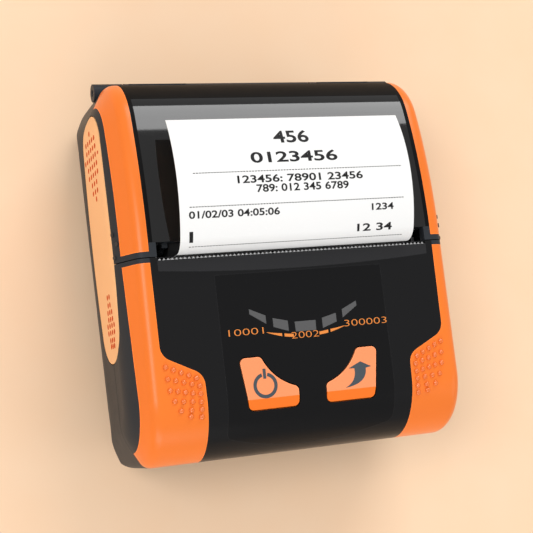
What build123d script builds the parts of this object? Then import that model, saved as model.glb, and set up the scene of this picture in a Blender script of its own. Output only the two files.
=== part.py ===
from build123d import *
import os
from math import acos, asin, atan2, cos, degrees, hypot, pi, radians, sin, sqrt, tan

# A portable receipt printer lying on its back. X runs across it, +X to the right
# of someone who reads the panel, Y from the panel end (-Y) to the hinge (+Y), and
# Z up out of its face. The origin is under the middle of the flat back.

# Overall form
WIDTH = 115.5
LENGTH = 127.5
HEIGHT = 58.0
SKIN = 1.4                 # thickness of the coloured trim
WALL = 3.2                 # trim and structure together
FRONT_TOP_R = 20.0         # chin
FRONT_LOW_R = 20.0
REAR_LOW_R = 12.0
CROWN_R = 168.0            # slow curve of the cover
REAR_R = 20.0              # quick curve at the hinge end
CROWN_START = 4.0          # behind the tear edge
BAND_X = 6.0               # sloped side band, across
BAND_Z = 11.0              # sloped side band, down
CREASE_R = 4.0
CHEEK_R = 15.0
KEEL_R_REAR = 15.0         # rounding under the sides, at the hinge end
KEEL_R_FRONT = 27.0        # rounding under the sides, at the panel end
SEAM_DROP_FRONT = 20.0     # face down to the parting line at the panel end
SEAM_DROP_REAR = 25.0
PARTING_TALL = 0.25        # shadow groove along the parting line
PARTING_DEEP = 0.8

# Split, slot and tear edge
TEAR_SHARE = 0.49804       # of the length, ahead of the tear edge
SPLIT_AHEAD = 0.35         # split line behind the tear edge
GAP = 0.3                  # between pieces that part
SLOT_SIDE = 11.65          # case side to the slot's end
SLOT_DEPTH = 4.95          # tear edge to the lip of the cover
BEZEL_END = 4.0            # crescent at its ends
BEZEL_MID = 5.75
BEZEL_BACK = 0.7           # bare teeth
TOOTH_PITCH = 1.35
TOOTH_HEIGHT = 0.8
BLADE_THICK = 0.6
BLADE_DEPTH = 3.6

# Orange strips
STRIP_WIDE = 9.25          # case side to the inner edge of a strip
STRIP_DROP = 7.2           # how far they reach down the sides
STRIP_DROP_END = 5.2
STRIP_BACK = 1.9           # ends of the strips, each side of the split
STRIP_FORE = 1.6
GRIP_WIDE = 22.75          # case side to the inner edge of a thumb grip
GRIP_LONG = 33.45          # front end to the start of the grip's slope
GRIP_SLOPE = 26.0
GRIP_R = 5.0
DOT_R = 0.85
DOT_RISE = 0.4
DOT_TAPER = 45.0
DOT_ROOT = 0.1             # sunk into the strip
# Rows of dots: first and last from the side and from the front end, and how many
DOT_ROWS = ((10.75, 30.1, 20.05, 26.0, 5), (11.05, 26.5, 20.85, 23.6, 5),
            (11.45, 23.0, 20.85, 21.1, 5), (12.55, 19.6, 20.85, 18.7, 4),
            (14.35, 16.6, 20.85, 16.4, 3), (17.35, 14.6, 20.75, 14.1, 2))

# Long side insets
INSET_SHIFT = 10.5         # towards the hinge from the middle
INSET_LONG = 81.0
INSET_SHARE = 0.741        # of that length, between its two end arcs
INSET_H = 10.6             # half height there
INSET_BULGE = 1.9
INSET_DROP = 23.7          # face down to its middle
INSET_TILT = 2.8
GROOVE = 0.35

# Keys and windows
KEY_OUT_TOP = 23.4
KEY_OUT_LOW = 21.3
KEY_IN_TOP = 15.6
KEY_IN_LOW = 4.8
KEY_TOP_Y = 33.0           # ahead of the tear edge
KEY_STEP_Y = 43.2
KEY_LOW_Y = 49.2
KEY_CREASE_Y = 45.95
KEY_RISE = 0.3
KEY_SINK = 1.0
KEY_UNDER = 4.8            # top of its flange under the face
KEY_FLANGE = 1.0
KEY_PLAY = 0.1             # more than its travel above the switch
STUD_R = 0.7
STUD_RISE = 0.4
STUD_DEEP = 0.3
STUDS = ((9.2, 9.8), (6.0, 8.1), (1.9, 9.7))    # behind the split, below the face
KEY_GAP = 0.35
KEY_TRAVEL = 0.8
OVERLAY_HALF = 28.4
OVERLAY_THICK = 0.4
WINDOW_GAP = 0.1

# Hinge
HINGE_R = 3.0
HINGE_DROP = 30.5
PIN_R = 1.2
RUN_FIT = 0.05
KNUCKLE_OUT = 3.75         # each from the case side
KNUCKLE_MID = 13.75
KNUCKLE_IN = 34.35
LID_DROP = 22.0            # face down to the lower edge of the glossy lid

# Paper
PAPER_SIDE = 18.0          # case side to the edge of the paper
PAPER_THICK = 0.2
ROLL_HEADROOM = 5.5        # cover's inner face at its highest to the full roll
CORE_R = 7.5
CORE_WALL = 1.5
BAY_WALL = 1.4
BAY_CLEAR = 1.0
BAY_FLOOR = 1.8
BAY_LIFT = 0.3
BAY_BACK = 0.75            # trough to the rear wall
BAY_EAR = 1.6
RIB = 1.2                  # stiffening ribs
RIB_DEEP = 1.5
RIB_X = 20.0
EAR_HALF = 4.0
BAY_SCREW = 10.25          # case side to the ear screws
CASE_SCREW = 13.75
CASE_SCREW_FORE = 16.75
HUB_LONG = 4.0
HUB_PLAY = 0.3
CURL_R = 6.2
CURL_TURN = 69.0
SHEET_R = 44.6
SHEET_TURN = 51.4

# Print mechanism
PLATEN_R = 5.0
PLATEN_DROP = 10.5
SHAFT_R = 1.5
BUSH_R = 3.0
BUSH_LONG = 1.8
LUG_WALL = 1.8
MODULE = 0.5
PLATEN_TEETH = 22
IDLER_A_TEETH = 30
IDLER_B_TEETH = 26
PINION_TEETH = 12
MESH = 0.1                 # extra centre distance
GEAR_WIDE = 3.0
GEAR_SIDE = 10.75          # case side to the near face of the wheels
TRAIN_A = 225.0            # direction from each wheel to the next
TRAIN_B = 200.0
TRAIN_M = 155.0
AXLE_R = 1.2
FRAME_SIDE = 13.25
FRAME_SHEET = 1.2
FRAME_LIFT = 0.4           # above the battery well
MOTOR_R = 8.0
MOTOR_LONG = 17.0
HEAD_PAST = 1.55           # head beyond the paper, each side
HEAD_THICK = 1.0
SINK_THICK = 2.5
SPRING_X = 25.0
SPRING_DROP = 15.0
SPRING_GAP = 4.4           # carrier to the cross wall
SPRING_WIDE = 6.0
SPRING_TALL = 9.0
SPRING_LEAF = 0.4
SENSOR_HALF = 4.0
SENSOR_DEEP = 3.4
SENSOR_TALL = 4.0
SENSOR_UP = 6.0            # above the frame's foot
SENSOR_EYE_R = 0.9

# Screws, their bosses and holes
SCREW_SEAT = 9.0           # back to the seat of the case screws' heads
CASE_HEAD_R = 2.4
CASE_HEAD = 2.5
CASE_SHANK_R = 1.2
CASE_BOSS_R = 3.4
BAY_HEAD_R = 2.3
BAY_HEAD = 1.3
BAY_SHANK_R = 1.1
BAY_SHANK = 7.0
BAY_BOSS_R = 3.0
BOARD_HEAD_R = 2.0
BOARD_HEAD = 1.0
BOARD_SHANK_R = 1.0
BOARD_BOSS_R = 2.4
HEAD_PLAY = 0.2
CLEAR_HOLE = 0.4           # round a shank that passes through
TAP_HOLE = 0.1             # round a shank that bites
SHANK_SIDES = 8

# Electronics
BOARD_DROP = 11.5
BOARD_THICK = 1.6
BOARD_SIDE = 17.75
BOARD_FORE = 9.7           # front end to the board's edge
BOARD_BACK = 10.0          # tear edge to the board's other edge
SWITCH = 6.0
SWITCH_H = 3.0
# Parts on the board: across, along from its middle, width, length, height, +1 on its upper face
CHIPS = ((-25.0, -4.6, 10.0, 10.0, 1.4, -1), (-8.0, -4.6, 8.0, 6.0, 1.2, -1),
         (-29.5, 11.9, 7.0, 8.0, 1.6, -1), (10.0, -9.1, 8.0, 5.0, 1.0, -1),
         (-25.0, 16.9, 10.0, 4.0, 2.0, 1))

# Battery
PACK_FLOOR = 1.6            # its wall on the printer's back
PACK_GRIP_PITCH = 6.0
PACK_GRIPS = 5
PACK_GRIP_DEEP = 0.35
PACK_FORE = 47.5
PACK_BACK = 6.5
PACK_TOP = 21.6
PACK_WALL = 1.3
CELL_R = 9.1
CELL_LONG = 65.0
CELL_TIP = 3.0
CELL_TIP_LONG = 1.0
CELL_END = 2.5             # end of a cell to the end of the pack
CELL_PLAY = 0.05
WELL_GAP = 0.2
WELL_WALL = 1.4
CONTACT_HALF = 9.0
CONTACT_THICK = 1.6
CONTACT_TALL = 12.0
LATCH_HALF = 8.0
LATCH_LONG = 6.0
LATCH_THICK = 2.0
LATCH_TRAVEL = 2.5
LATCH_UP = 3.2              # back to the slide's face
LATCH_PLAY = 0.3
LATCH_NOSE = 1.3            # reach into the pack's notch
LATCH_RIBS = 3
LATCH_RIB_PITCH = 1.5

# Charging port at the panel end
PORT_X = 18.0
PORT_HALF = 9.0
PORT_DROP = 5.0            # below the parting line
PORT_TALL = 10.6
PORT_LID = 1.2
PORT_PLAY = 0.15
MOUTH_HALF = 7.0           # opening behind the cover
MOUTH_SILL = 2.2
MOUTH_HEAD = 1.8
SOCKET_PLAY = 0.2
SOCKET_LONG = 9.0
SOCKET_IN = 0.6            # how far it enters the mouth
SLOT_X = (-5.4, 0.8)       # data slot, from the port's middle
SLOT_Z = (4.0, 6.6)        # above the recess's sill
TONGUE_X = (-4.6, 0.0)
TONGUE_Z = (5.0, 5.6)
JACK_X = 4.0
JACK_Z = 5.3
JACK_R = 1.8
JACK_PIN_R = 0.5
PORT_BOARD_LONG = 12.0
PORT_BOARD_THICK = 1.0
PLUG_HALF = 5.0
NAIL_HALF = 3.0

# Values that follow from the ones above
HALF = WIDTH / 2
PACK_HALF = CELL_LONG / 2 + CELL_END
FRONT = -LENGTH / 2
REAR = LENGTH / 2 - HINGE_R
TEAR_Y = FRONT + LENGTH * TEAR_SHARE
SPLIT_Y = TEAR_Y + SPLIT_AHEAD
LIP_Y = TEAR_Y + SLOT_DEPTH
SLOT_HALF = HALF - SLOT_SIDE
STRIP_IN = HALF - STRIP_WIDE
GRIP_IN = HALF - GRIP_WIDE
SEAM_FRONT = HEIGHT - SEAM_DROP_FRONT
SEAM_REAR = HEIGHT - SEAM_DROP_REAR
INSET_Z = HEIGHT - INSET_DROP
HINGE_Z = HEIGHT - HINGE_DROP
SEAM_TILT = degrees(atan2(SEAM_FRONT - SEAM_REAR, REAR - FRONT))
CHIN_Y = FRONT + FRONT_TOP_R
LOW = INSET_Z - INSET_H - INSET_BULGE - 2.0   # the upper forms reach below the insets
HIGH = max(SEAM_FRONT, SEAM_REAR) + 3.0
WEB_Y = TEAR_Y + 0.65      # print line
PAPER_WIDTH = WIDTH - 2 * PAPER_SIDE
PLATEN_Z = HEIGHT - PLATEN_DROP
HEAD_HALF = PAPER_WIDTH / 2 + HEAD_PAST
FRAME_X = HALF - FRAME_SIDE
GEAR_X = HALF - GEAR_SIDE
BOARD_Z = HEIGHT - BOARD_DROP
BOARD_HALF = HALF - BOARD_SIDE
PLATEN_Y = WEB_Y + PAPER_THICK / 2 + 0.1 + PLATEN_R
HEAD_Y = WEB_Y - PAPER_THICK / 2 - 0.05
CROSS_Y = HEAD_Y - HEAD_THICK - SINK_THICK - SPRING_GAP
BOARD_TOP = BOARD_Z + BOARD_THICK
BAY_LOW = WALL + BAY_LIFT
BAY_R = (HEIGHT - 2 * WALL - BAY_LIFT - ROLL_HEADROOM + BAY_FLOOR + BAY_CLEAR) / 2
ROLL_R = BAY_R - BAY_FLOOR - BAY_CLEAR
ROLL_Y = REAR - WALL - BAY_BACK - BAY_R
ROLL_Z = BAY_LOW + BAY_R
EAR_Z = ROLL_Z - 11.8
FRAME_Z = PACK_TOP + WELL_GAP + WELL_WALL + FRAME_LIFT
PORT_HIGH = SEAM_FRONT - PORT_DROP
PORT_LOW = PORT_HIGH - PORT_TALL


def box(x, y, z):
    """A block between three pairs of bounds."""
    size = [abs(b - a) for a, b in (x, y, z)]
    mid = [(a + b) / 2 for a, b in (x, y, z)]
    return Pos(*mid) * Box(*size)


def rod(x, y, z, radius):
    """A cylinder along X between two bounds."""
    return Pos((x[0] + x[1]) / 2, y, z) * Rot(0, 90, 0) * Cylinder(radius, abs(x[1] - x[0]))


def post(x, y, z, radius, sides=12):
    """A many-sided post along Z between two bounds, for screws, bosses and their bores."""
    face = Pos(x, y, min(z)) * RegularPolygon(radius, sides)
    return extrude(face, abs(z[1] - z[0]), dir=(0, 0, 1))


def drum(x, y, z, radius, sides=20):
    """A many-sided rod along X between two bounds, for round pieces that nothing turns on."""
    face = Plane.YZ.offset(min(x)) * Pos(y, z) * RegularPolygon(radius, sides)
    return extrude(face, abs(x[1] - x[0]))


def plate(points, x):
    """A flat plate across X from an outline in Y and Z."""
    face = make_face(Polyline(*points, close=True))
    return extrude(Plane.YZ.offset(x[0]) * face, x[1] - x[0])


def both(shape):
    """The shape and its mirror image."""
    return [shape, mirror(shape, about=Plane.YZ)]


def join(shapes):
    total = shapes[0]
    for item in shapes[1:]:
        total = total + item
    return total


# Outer form

def band_scale(inset):
    """A sloped band keeps its slope when the form shrinks by the inset."""
    return 1 - inset * (BAND_X + BAND_Z - hypot(BAND_X, BAND_Z)) / (BAND_X * BAND_Z)


def edge_section(inset, smooth):
    """What is cut from the form's edge: across from the side, and down from the face.

    The sloped band meets the face in a crease and the side in a slow cheek, which
    are rounded on the outer form and left sharp on the inner ones.
    """
    scale = band_scale(inset)
    wide, deep, spare = BAND_X * scale, BAND_Z * scale, 2.0
    slope = atan2(wide, deep)
    if not smooth:
        corners = [(-wide - spare * wide / deep, spare), (0, -deep), (spare, -deep), (spare, spare)]
        return Curve() + [Polyline(*corners, close=True)]
    crease = CREASE_R * tan((pi / 2 - slope) / 2)
    cheek = CHEEK_R * tan(slope / 2)
    a, b = (-wide - crease, 0), (-wide + crease * sin(slope), -crease * cos(slope))
    c, d = (-cheek * sin(slope), -deep + cheek * cos(slope)), (0, -deep - cheek)
    return Curve() + [
        RadiusArc(a, b, CREASE_R), Line(b, c), RadiusArc(c, d, CHEEK_R), Line(d, (spare, d[1])),
        Line((spare, d[1]), (spare, spare)), Line((spare, spare), (a[0], spare)),
        Line((a[0], spare), a)]


def cut_along(section, half, start, end):
    """The section pushed along a straight stretch of the side outline."""
    way = Vector(0, end[0] - start[0], end[1] - start[1])
    plane = Plane(origin=(half, *start), x_dir=(1, 0, 0), z_dir=-way)
    return extrude(plane * make_face(section), -way.length)


def cut_round(section, half, centre, radius, begin, turn):
    """The section turned about an arc of the side outline."""
    a = radians(begin)
    start = (centre[0] + radius * cos(a), centre[1] + radius * sin(a))
    plane = Plane(origin=(half, *start), x_dir=(1, 0, 0), z_dir=(0, -sin(a), cos(a)))
    face = plane * make_face(section)
    return revolve(face, Axis((0, *centre), (-1 if turn < 0 else 1, 0, 0)), abs(turn))


def upper_form(inset, smooth=False):
    """The form above the seam, shrunk by the inset, with its sloped bands."""
    half = HALF - inset
    low, top, fore, back = LOW, HEIGHT - inset, FRONT + inset, REAR - inset
    chin = (CHIN_Y, HEIGHT - FRONT_TOP_R)
    crown = (TEAR_Y + CROWN_START, HEIGHT - CROWN_R)
    turn = degrees(asin((REAR - REAR_R - crown[0]) / (CROWN_R - REAR_R)))
    rear = (REAR - REAR_R, crown[1] + (CROWN_R - REAR_R) * cos(radians(turn)))
    outline = [
        Line((fore, low), (fore, chin[1])),
        CenterArc(chin, FRONT_TOP_R - inset, 180, -90),
        Line((chin[0], top), (crown[0], top)),
        CenterArc(crown, CROWN_R - inset, 90, -turn),
        CenterArc(rear, REAR_R - inset, 90 - turn, turn - 90),
        Line((back, rear[1]), (back, low)),
        Line((back, low), (fore, low)),
    ]
    form = extrude(Plane.YZ * make_face(Curve() + outline), half, both=True)
    section, spare = edge_section(inset, smooth), 0.5
    cuts = [
        cut_along(section, half, (fore, low - spare), (fore, chin[1] + spare)),
        cut_round(section, half, chin, FRONT_TOP_R - inset, 180, -90),
        cut_along(section, half, (chin[0] - spare, top), (crown[0] + spare, top)),
        cut_round(section, half, crown, CROWN_R - inset, 90, -turn - spare),
        cut_round(section, half, rear, REAR_R - inset, 90 - turn, turn - 90),
        cut_along(section, half, (back, rear[1] + spare), (back, low - spare)),
    ]
    for item in cuts:
        form = form - item - mirror(item, about=Plane.YZ)
    return form


def lower_form(inset, smooth=False):
    """The form below the seam: rounded ends and a keel that softens to the front."""
    half, scale = HALF - inset, band_scale(inset)
    fore, back = FRONT + inset, REAR - inset
    outline = [
        Line((fore, HIGH), (fore, FRONT_LOW_R)),
        CenterArc((FRONT + FRONT_LOW_R, FRONT_LOW_R), FRONT_LOW_R - inset, 180, 90),
        Line((FRONT + FRONT_LOW_R, inset), (REAR - REAR_LOW_R, inset)),
        CenterArc((REAR - REAR_LOW_R, REAR_LOW_R), REAR_LOW_R - inset, 270, 90),
        Line((back, REAR_LOW_R), (back, HIGH)),
        Line((back, HIGH), (fore, HIGH)),
    ]
    form = extrude(Plane.YZ * make_face(Curve() + outline), HALF + 5, both=True)
    long, wide = BAND_Z * scale, BAND_X * scale
    corners = [(half, back - long), (half - wide, back), (wide - half, back),
               (-half, back - long), (-half, fore + long), (wide - half, fore),
               (half - wide, fore), (half, fore + long)]
    plan = make_face(Polyline(*corners, close=True))
    if smooth:
        rim = [v for v in plan.vertices() if abs(abs(v.X) - half + wide) < 0.01]
        plan = fillet(rim, CREASE_R)
        rim = [v for v in plan.vertices() if abs(abs(v.X) - half) < 0.001
               and (abs(v.Y - back + long) < 0.01 or abs(v.Y - fore - long) < 0.01)]
        plan = fillet(rim, CHEEK_R)
    form = form & extrude(Pos(0, 0, -5) * plan, HIGH + 10)
    return form - join(both(keel_cut(inset)))


def keel_cut(inset):
    """Corner outside a cone that touches the side and the flat back."""
    spare = 10.0
    taper = (KEEL_R_FRONT - KEEL_R_REAR) / (REAR - FRONT)
    back_r, fore_r = KEEL_R_REAR - spare * taper, KEEL_R_FRONT + spare * taper
    a = Vector(HALF - back_r, REAR + spare, back_r)
    b = Vector(HALF - fore_r, FRONT - spare, fore_r)
    along = b - a
    lean = cos(asin((fore_r - back_r) / along.length))
    cone = Cone((back_r - inset) / lean, (fore_r - inset) / lean, along.length)
    cone = Plane(origin=(a + b) * 0.5, z_dir=along) * cone

    def corner(y, r):
        points = [(HALF - r, r), (HALF + 6, r), (HALF + 6, -6), (HALF - r, -6)]
        plane = Plane(origin=(0, y, 0), x_dir=(1, 0, 0), z_dir=(0, -1, 0))
        return plane * make_face(Polyline(*points, close=True))

    room = spare / 2
    near, far = KEEL_R_REAR - room * taper, KEEL_R_FRONT + room * taper
    return loft([corner(REAR + room, near), corner(FRONT - room, far)], ruled=True) - cone


def above_seam(lift=0.0):
    """Everything above the slightly tilted parting plane."""
    reach = 4 * LENGTH
    block = Pos(0, 0, reach / 2 + lift) * Box(reach, reach, reach)
    pivot = Pos(0, (FRONT + REAR) / 2, (SEAM_FRONT + SEAM_REAR) / 2)
    return pivot * Rot(-SEAM_TILT, 0, 0) * block


U0, U1, U2 = upper_form(0, smooth=True), upper_form(SKIN), upper_form(WALL)
L0, L2 = lower_form(0, smooth=True), lower_form(WALL)
UPPER_SKIN = U0 - U1
UPPER_WALL = U0 - U2
LOWER_WALL = L0 - L2
FAR = 2 * LENGTH


def strip_field():
    """Between the outer form and a profile STRIP_DROP below it, ahead of the split."""
    lines = [(FRONT - 5, HEIGHT + 5), (FRONT - 5, LOW - 5),
             (FRONT + STRIP_DROP_END, LOW - 5), (FRONT + STRIP_DROP_END, HEIGHT - STRIP_DROP_END),
             (SPLIT_Y, HEIGHT - STRIP_DROP), (SPLIT_Y, HEIGHT + 5)]
    face = make_face(Polyline(*lines, close=True))
    corner = [v for v in face.vertices()
              if abs(v.X - FRONT - STRIP_DROP_END) < 0.01 and v.Y > LOW]
    face = fillet(corner, FRONT_TOP_R - STRIP_DROP_END)
    return extrude(Plane.YZ * face, HALF + 5, both=True)


def cover_strip_field():
    """The same depth below the cover's own curve."""
    drop = STRIP_DROP
    crown_y, crown_z = TEAR_Y + CROWN_START, HEIGHT - CROWN_R
    turn = degrees(asin((REAR - REAR_R - crown_y) / (CROWN_R - REAR_R)))
    rear_z = crown_z + (CROWN_R - REAR_R) * cos(radians(turn))
    lines = [
        Line((SPLIT_Y, HEIGHT - drop), (crown_y, HEIGHT - drop)),
        CenterArc((crown_y, crown_z), CROWN_R - drop, 90, -turn),
        CenterArc((REAR - REAR_R, rear_z), REAR_R - drop, 90 - turn, turn - 90),
        Line((REAR - drop, rear_z), (REAR - drop, LOW - 5)),
        Line((REAR - drop, LOW - 5), (SPLIT_Y, LOW - 5)),
        Line((SPLIT_Y, LOW - 5), (SPLIT_Y, HEIGHT - drop)),
    ]
    core = extrude(Plane.YZ * make_face(Curve() + lines), HALF + 5, both=True)
    return box((-HALF - 4, HALF + 4), (SPLIT_Y + STRIP_BACK, REAR + 5), (LOW, HEIGHT + 4)) - core


def grip_area():
    """Plan of the lower right strip with its wide thumb grip."""
    y0 = SPLIT_Y - STRIP_FORE
    knee = FRONT + GRIP_LONG
    heel = knee - (STRIP_IN - GRIP_IN) * tan(radians(GRIP_SLOPE))
    points = [(STRIP_IN, y0), (STRIP_IN - 0.3, knee), (GRIP_IN + 0.1, heel),
              (GRIP_IN - 0.5, FRONT - 5), (HALF + 5, FRONT - 5), (HALF + 5, y0)]
    face = make_face(Polyline(*points, close=True))
    bends = [v for v in face.vertices()
             if abs(v.Y - knee) < 0.01 or abs(v.Y - heel) < 0.01]
    return fillet(bends, GRIP_R)


def crescent_area(back):
    """Plan of the crescent between the tear edge and its lower arc."""
    y0 = TEAR_Y - back
    lines = [Line((-SLOT_HALF, y0), (SLOT_HALF, y0)),
             Line((SLOT_HALF, y0), (SLOT_HALF, TEAR_Y - BEZEL_END)),
             ThreePointArc((SLOT_HALF, TEAR_Y - BEZEL_END), (0, TEAR_Y - BEZEL_MID),
                           (-SLOT_HALF, TEAR_Y - BEZEL_END)),
             Line((-SLOT_HALF, TEAR_Y - BEZEL_END), (-SLOT_HALF, y0))]
    return make_face(Curve() + lines)


def inset_area(grow):
    """Side view of the long inset, in Y and Z: four arcs, tilted with the seam."""
    h, e, tip = INSET_H + grow, INSET_LONG / 2 * INSET_SHARE, INSET_LONG / 2 + grow
    lines = [ThreePointArc((-e, -h), (-tip, 0), (-e, h)),
             ThreePointArc((-e, h), (0, h + INSET_BULGE), (e, h)),
             ThreePointArc((e, h), (tip, 0), (e, -h)),
             ThreePointArc((e, -h), (0, -h - INSET_BULGE), (-e, -h))]
    return Pos(INSET_SHIFT, INSET_Z) * Rot(0, 0, -INSET_TILT) * make_face(Curve() + lines)


def inset_prism(grow, depth):
    face = Plane.YZ.offset(HALF - depth) * inset_area(grow)
    return join(both(extrude(face, depth + 5)))


def key_area(grow=0.0, corner=1.6):
    """Plan of the right key: a square with its upper inner corner swept away."""
    g = grow
    top, step, low = TEAR_Y - KEY_TOP_Y + g, TEAR_Y - KEY_STEP_Y + g, TEAR_Y - KEY_LOW_Y - g
    lines = [Line((KEY_IN_TOP + 0.8 - g, top), (KEY_OUT_TOP + g, top)),
             Line((KEY_OUT_TOP + g, top), (KEY_OUT_LOW + g, low)),
             Line((KEY_OUT_LOW + g, low), (KEY_IN_LOW - g, low)),
             Line((KEY_IN_LOW - g, low), (KEY_IN_LOW - g, step)),
             ThreePointArc((KEY_IN_LOW - g, step),
                           (12.1 - 0.7 * g, TEAR_Y - 39.2 + 0.7 * g),
                           (KEY_IN_TOP + 0.8 - g, top))]
    face = make_face(Curve() + lines)
    return fillet(face.vertices(), corner + g) if corner else face


def window_area(grow=0.0):
    """Plan of the five status windows, which lean away from the middle one."""
    g = grow
    shapes = [Polygon((-3.6 - g, g - 22.95), (3.6 + g, g - 22.95), (3.5 + g, -26.15 - g),
                      (-3.5 - g, -26.15 - g), align=None)]
    for s in (-1, 1):
        shapes.append(Polygon((s * (5.85 - g), g - 22.45), (s * (10.85 + g), g - 21.25),
                              (s * (10.85 + g), -24.05 - g), (s * (5.85 - g), -25.75 - g),
                              align=None))
        shapes.append(Polygon((s * (13.1 - g), g - 20.25), (s * (18.4 + g), g - 17.85),
                              (s * (18.4 + g), -19.45 - g), (s * (13.1 - g), -22.95 - g),
                              align=None))
    return [Pos(0, TEAR_Y, 0) * shape for shape in shapes]


def through(faces, z):
    """Sketches in plan pushed up between two heights."""
    faces = faces if isinstance(faces, list) else [faces]
    return join([extrude(Pos(0, 0, z[0]) * f, z[1] - z[0], dir=(0, 0, 1)) for f in faces])


GRIPS = join(both(through(grip_area(), (LOW, HEIGHT + 4))))
BEZEL = through(crescent_area(0), (LOW, HEIGHT + 4))
OVAL = inset_prism(GROOVE, SKIN)
AHEAD = box((-FAR, FAR), (-FAR, SPLIT_Y - GAP / 2), (-FAR, FAR))
BEHIND = box((-FAR, FAR), (SPLIT_Y + GAP / 2, FAR), (-FAR, FAR))


# Case

def lower_strips():
    """Orange corner strips with thumb grips, each with its raised dots."""
    field = (UPPER_SKIN & strip_field() & above_seam()) & GRIPS
    face = RegularPolygon(DOT_R + DOT_ROOT, 6)
    stub = extrude(face, DOT_RISE + DOT_ROOT, taper=DOT_TAPER)
    dots = []
    for side0, fore0, side1, fore1, count in DOT_ROWS:
        for k in range(count):
            part = k / (count - 1)
            x = HALF - side0 - (side1 - side0) * part
            y = FRONT + fore0 + (fore1 - fore0) * part
            ahead = max(CHIN_Y - y, 0.0)
            z = HEIGHT - FRONT_TOP_R + sqrt(FRONT_TOP_R ** 2 - ahead ** 2)
            lean = degrees(asin(ahead / FRONT_TOP_R))
            dots.append(Pos(x, y, z) * Rot(lean, 0, 0) * Pos(0, 0, -DOT_ROOT) * stub)
    right = field & box((0, FAR), (-FAR, FAR), (-FAR, FAR))
    right = join([right] + dots)
    return right, mirror(right, about=Plane.YZ)


def panel_area():
    """Between the grips, without the charcoal corners beside the split."""
    area = box((-STRIP_IN - 4, STRIP_IN + 4), (FRONT - 5, SPLIT_Y - GAP / 2), (LOW, HEIGHT + 4))
    side = box((STRIP_IN, HALF + 9), (SPLIT_Y - STRIP_FORE, SPLIT_Y + 9), (LOW, HEIGHT + 4))
    return area - GRIPS - join(both(side))


def control_panel():
    """Glossy black panel between the strips, from the crescent round the chin."""
    field = (UPPER_SKIN & (panel_area() - BEZEL)) & above_seam()
    holes = through([key_area(KEY_GAP), mirror(key_area(KEY_GAP), about=Plane.YZ)]
                    + window_area(WINDOW_GAP), (HEIGHT - 8, HEIGHT + 2))
    sheet = (U0 - box((-HALF, HALF), (CHIN_Y, FAR), (LOW - 1, HEIGHT - OVERLAY_THICK))
             - rod((-HALF, HALF), CHIN_Y, HEIGHT - FRONT_TOP_R, FRONT_TOP_R - OVERLAY_THICK))
    sheet = sheet & overlay_prism() & above_seam()
    return field - sheet - holes, sheet - holes


def overlay_prism():
    """Plan of the thin overlay: straight sides and a bowed lower edge."""
    top, low = TEAR_Y - BEZEL_MID - 0.8, FRONT + 6.5
    lines = [Line((-OVERLAY_HALF, low), (-OVERLAY_HALF, top)),
             Line((-OVERLAY_HALF, top), (OVERLAY_HALF, top)),
             Line((OVERLAY_HALF, top), (OVERLAY_HALF, low)),
             ThreePointArc((OVERLAY_HALF, low), (0, FRONT + 2.6), (-OVERLAY_HALF, low))]
    face = make_face(Curve() + lines)
    bends = [v for v in face.vertices() if abs(v.Y - low) < 0.01]
    return through(fillet(bends, 2.5), (LOW, HEIGHT + 4))


def slot_bezel():
    """Crescent that carries the tear bar, with a pocket for its blade."""
    field = UPPER_SKIN & through(crescent_area(BEZEL_BACK), (LOW, HEIGHT + 4))
    return field - blade_pocket()


def blade_pocket():
    z1 = HEIGHT - 0.5
    return box((-SLOT_HALF, SLOT_HALF), (TEAR_Y - BLADE_DEPTH, TEAR_Y), (z1 - BLADE_THICK, z1))


def tear_bar():
    """Steel blade whose teeth stand just clear of the crescent."""
    z1 = HEIGHT - 0.5
    root = TEAR_Y - TOOTH_HEIGHT
    blade = box((-SLOT_HALF + 0.1, SLOT_HALF - 0.1), (TEAR_Y - BLADE_DEPTH, root),
                (z1 - BLADE_THICK, z1))
    count = int((2 * SLOT_HALF - 0.2) / TOOTH_PITCH)
    points = [(-count * TOOTH_PITCH / 2, root - 0.3)]
    for k in range(count):
        x = (k - count / 2) * TOOTH_PITCH
        points += [(x, root), (x + TOOTH_PITCH / 2, TEAR_Y)]
    points += [(count * TOOTH_PITCH / 2, root), (count * TOOTH_PITCH / 2, root - 0.3)]
    return blade + through(make_face(Polyline(*points, close=True)), (z1 - BLADE_THICK, z1))


def front_housing():
    """Charcoal upper shell of the panel end, with posts for the board and screws."""
    trim = UPPER_SKIN & strip_field() & GRIPS
    trim = trim + (UPPER_SKIN & panel_area())
    shell = (UPPER_WALL & above_seam() & AHEAD) - trim - OVAL
    shell = shell - box((-SLOT_HALF, SLOT_HALF), (TEAR_Y - BEZEL_BACK, FAR), (LOW, HEIGHT + 2))
    shell = shell - blade_pocket()
    hole = key_area(KEY_GAP, corner=0)
    holes = [hole, mirror(hole, about=Plane.YZ)] + window_area(WINDOW_GAP)
    shell = shell - through(holes, (HEIGHT - 8, HEIGHT + 2))
    inner = HEIGHT - WALL
    posts = join([post(x, y, (BOARD_TOP, inner + 0.5), BOARD_BOSS_R) for x, y in board_posts()]) & U1
    bosses = join([post(x, y, (LOW, inner), CASE_BOSS_R) for x, y in case_screws_at()])
    tap = CASE_SHANK_R + TAP_HOLE
    bores = join([post(x, y, (LOW - 5, inner - 6), tap) for x, y in case_screws_at()])
    return join([shell, posts, bosses & U2 & above_seam()]) - bores


def board_posts():
    return [(s * (BOARD_HALF - 5), y) for s in (-1, 1)
            for y in (FRONT + BOARD_FORE + 5, TEAR_Y - BOARD_BACK - 5)]


def case_screws_at():
    return [(s * (HALF - CASE_SCREW), FRONT + CASE_SCREW_FORE) for s in (-1, 1)]


def bay_screws_at():
    return [(s * (HALF - BAY_SCREW), ROLL_Y) for s in (-1, 1)]


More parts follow.
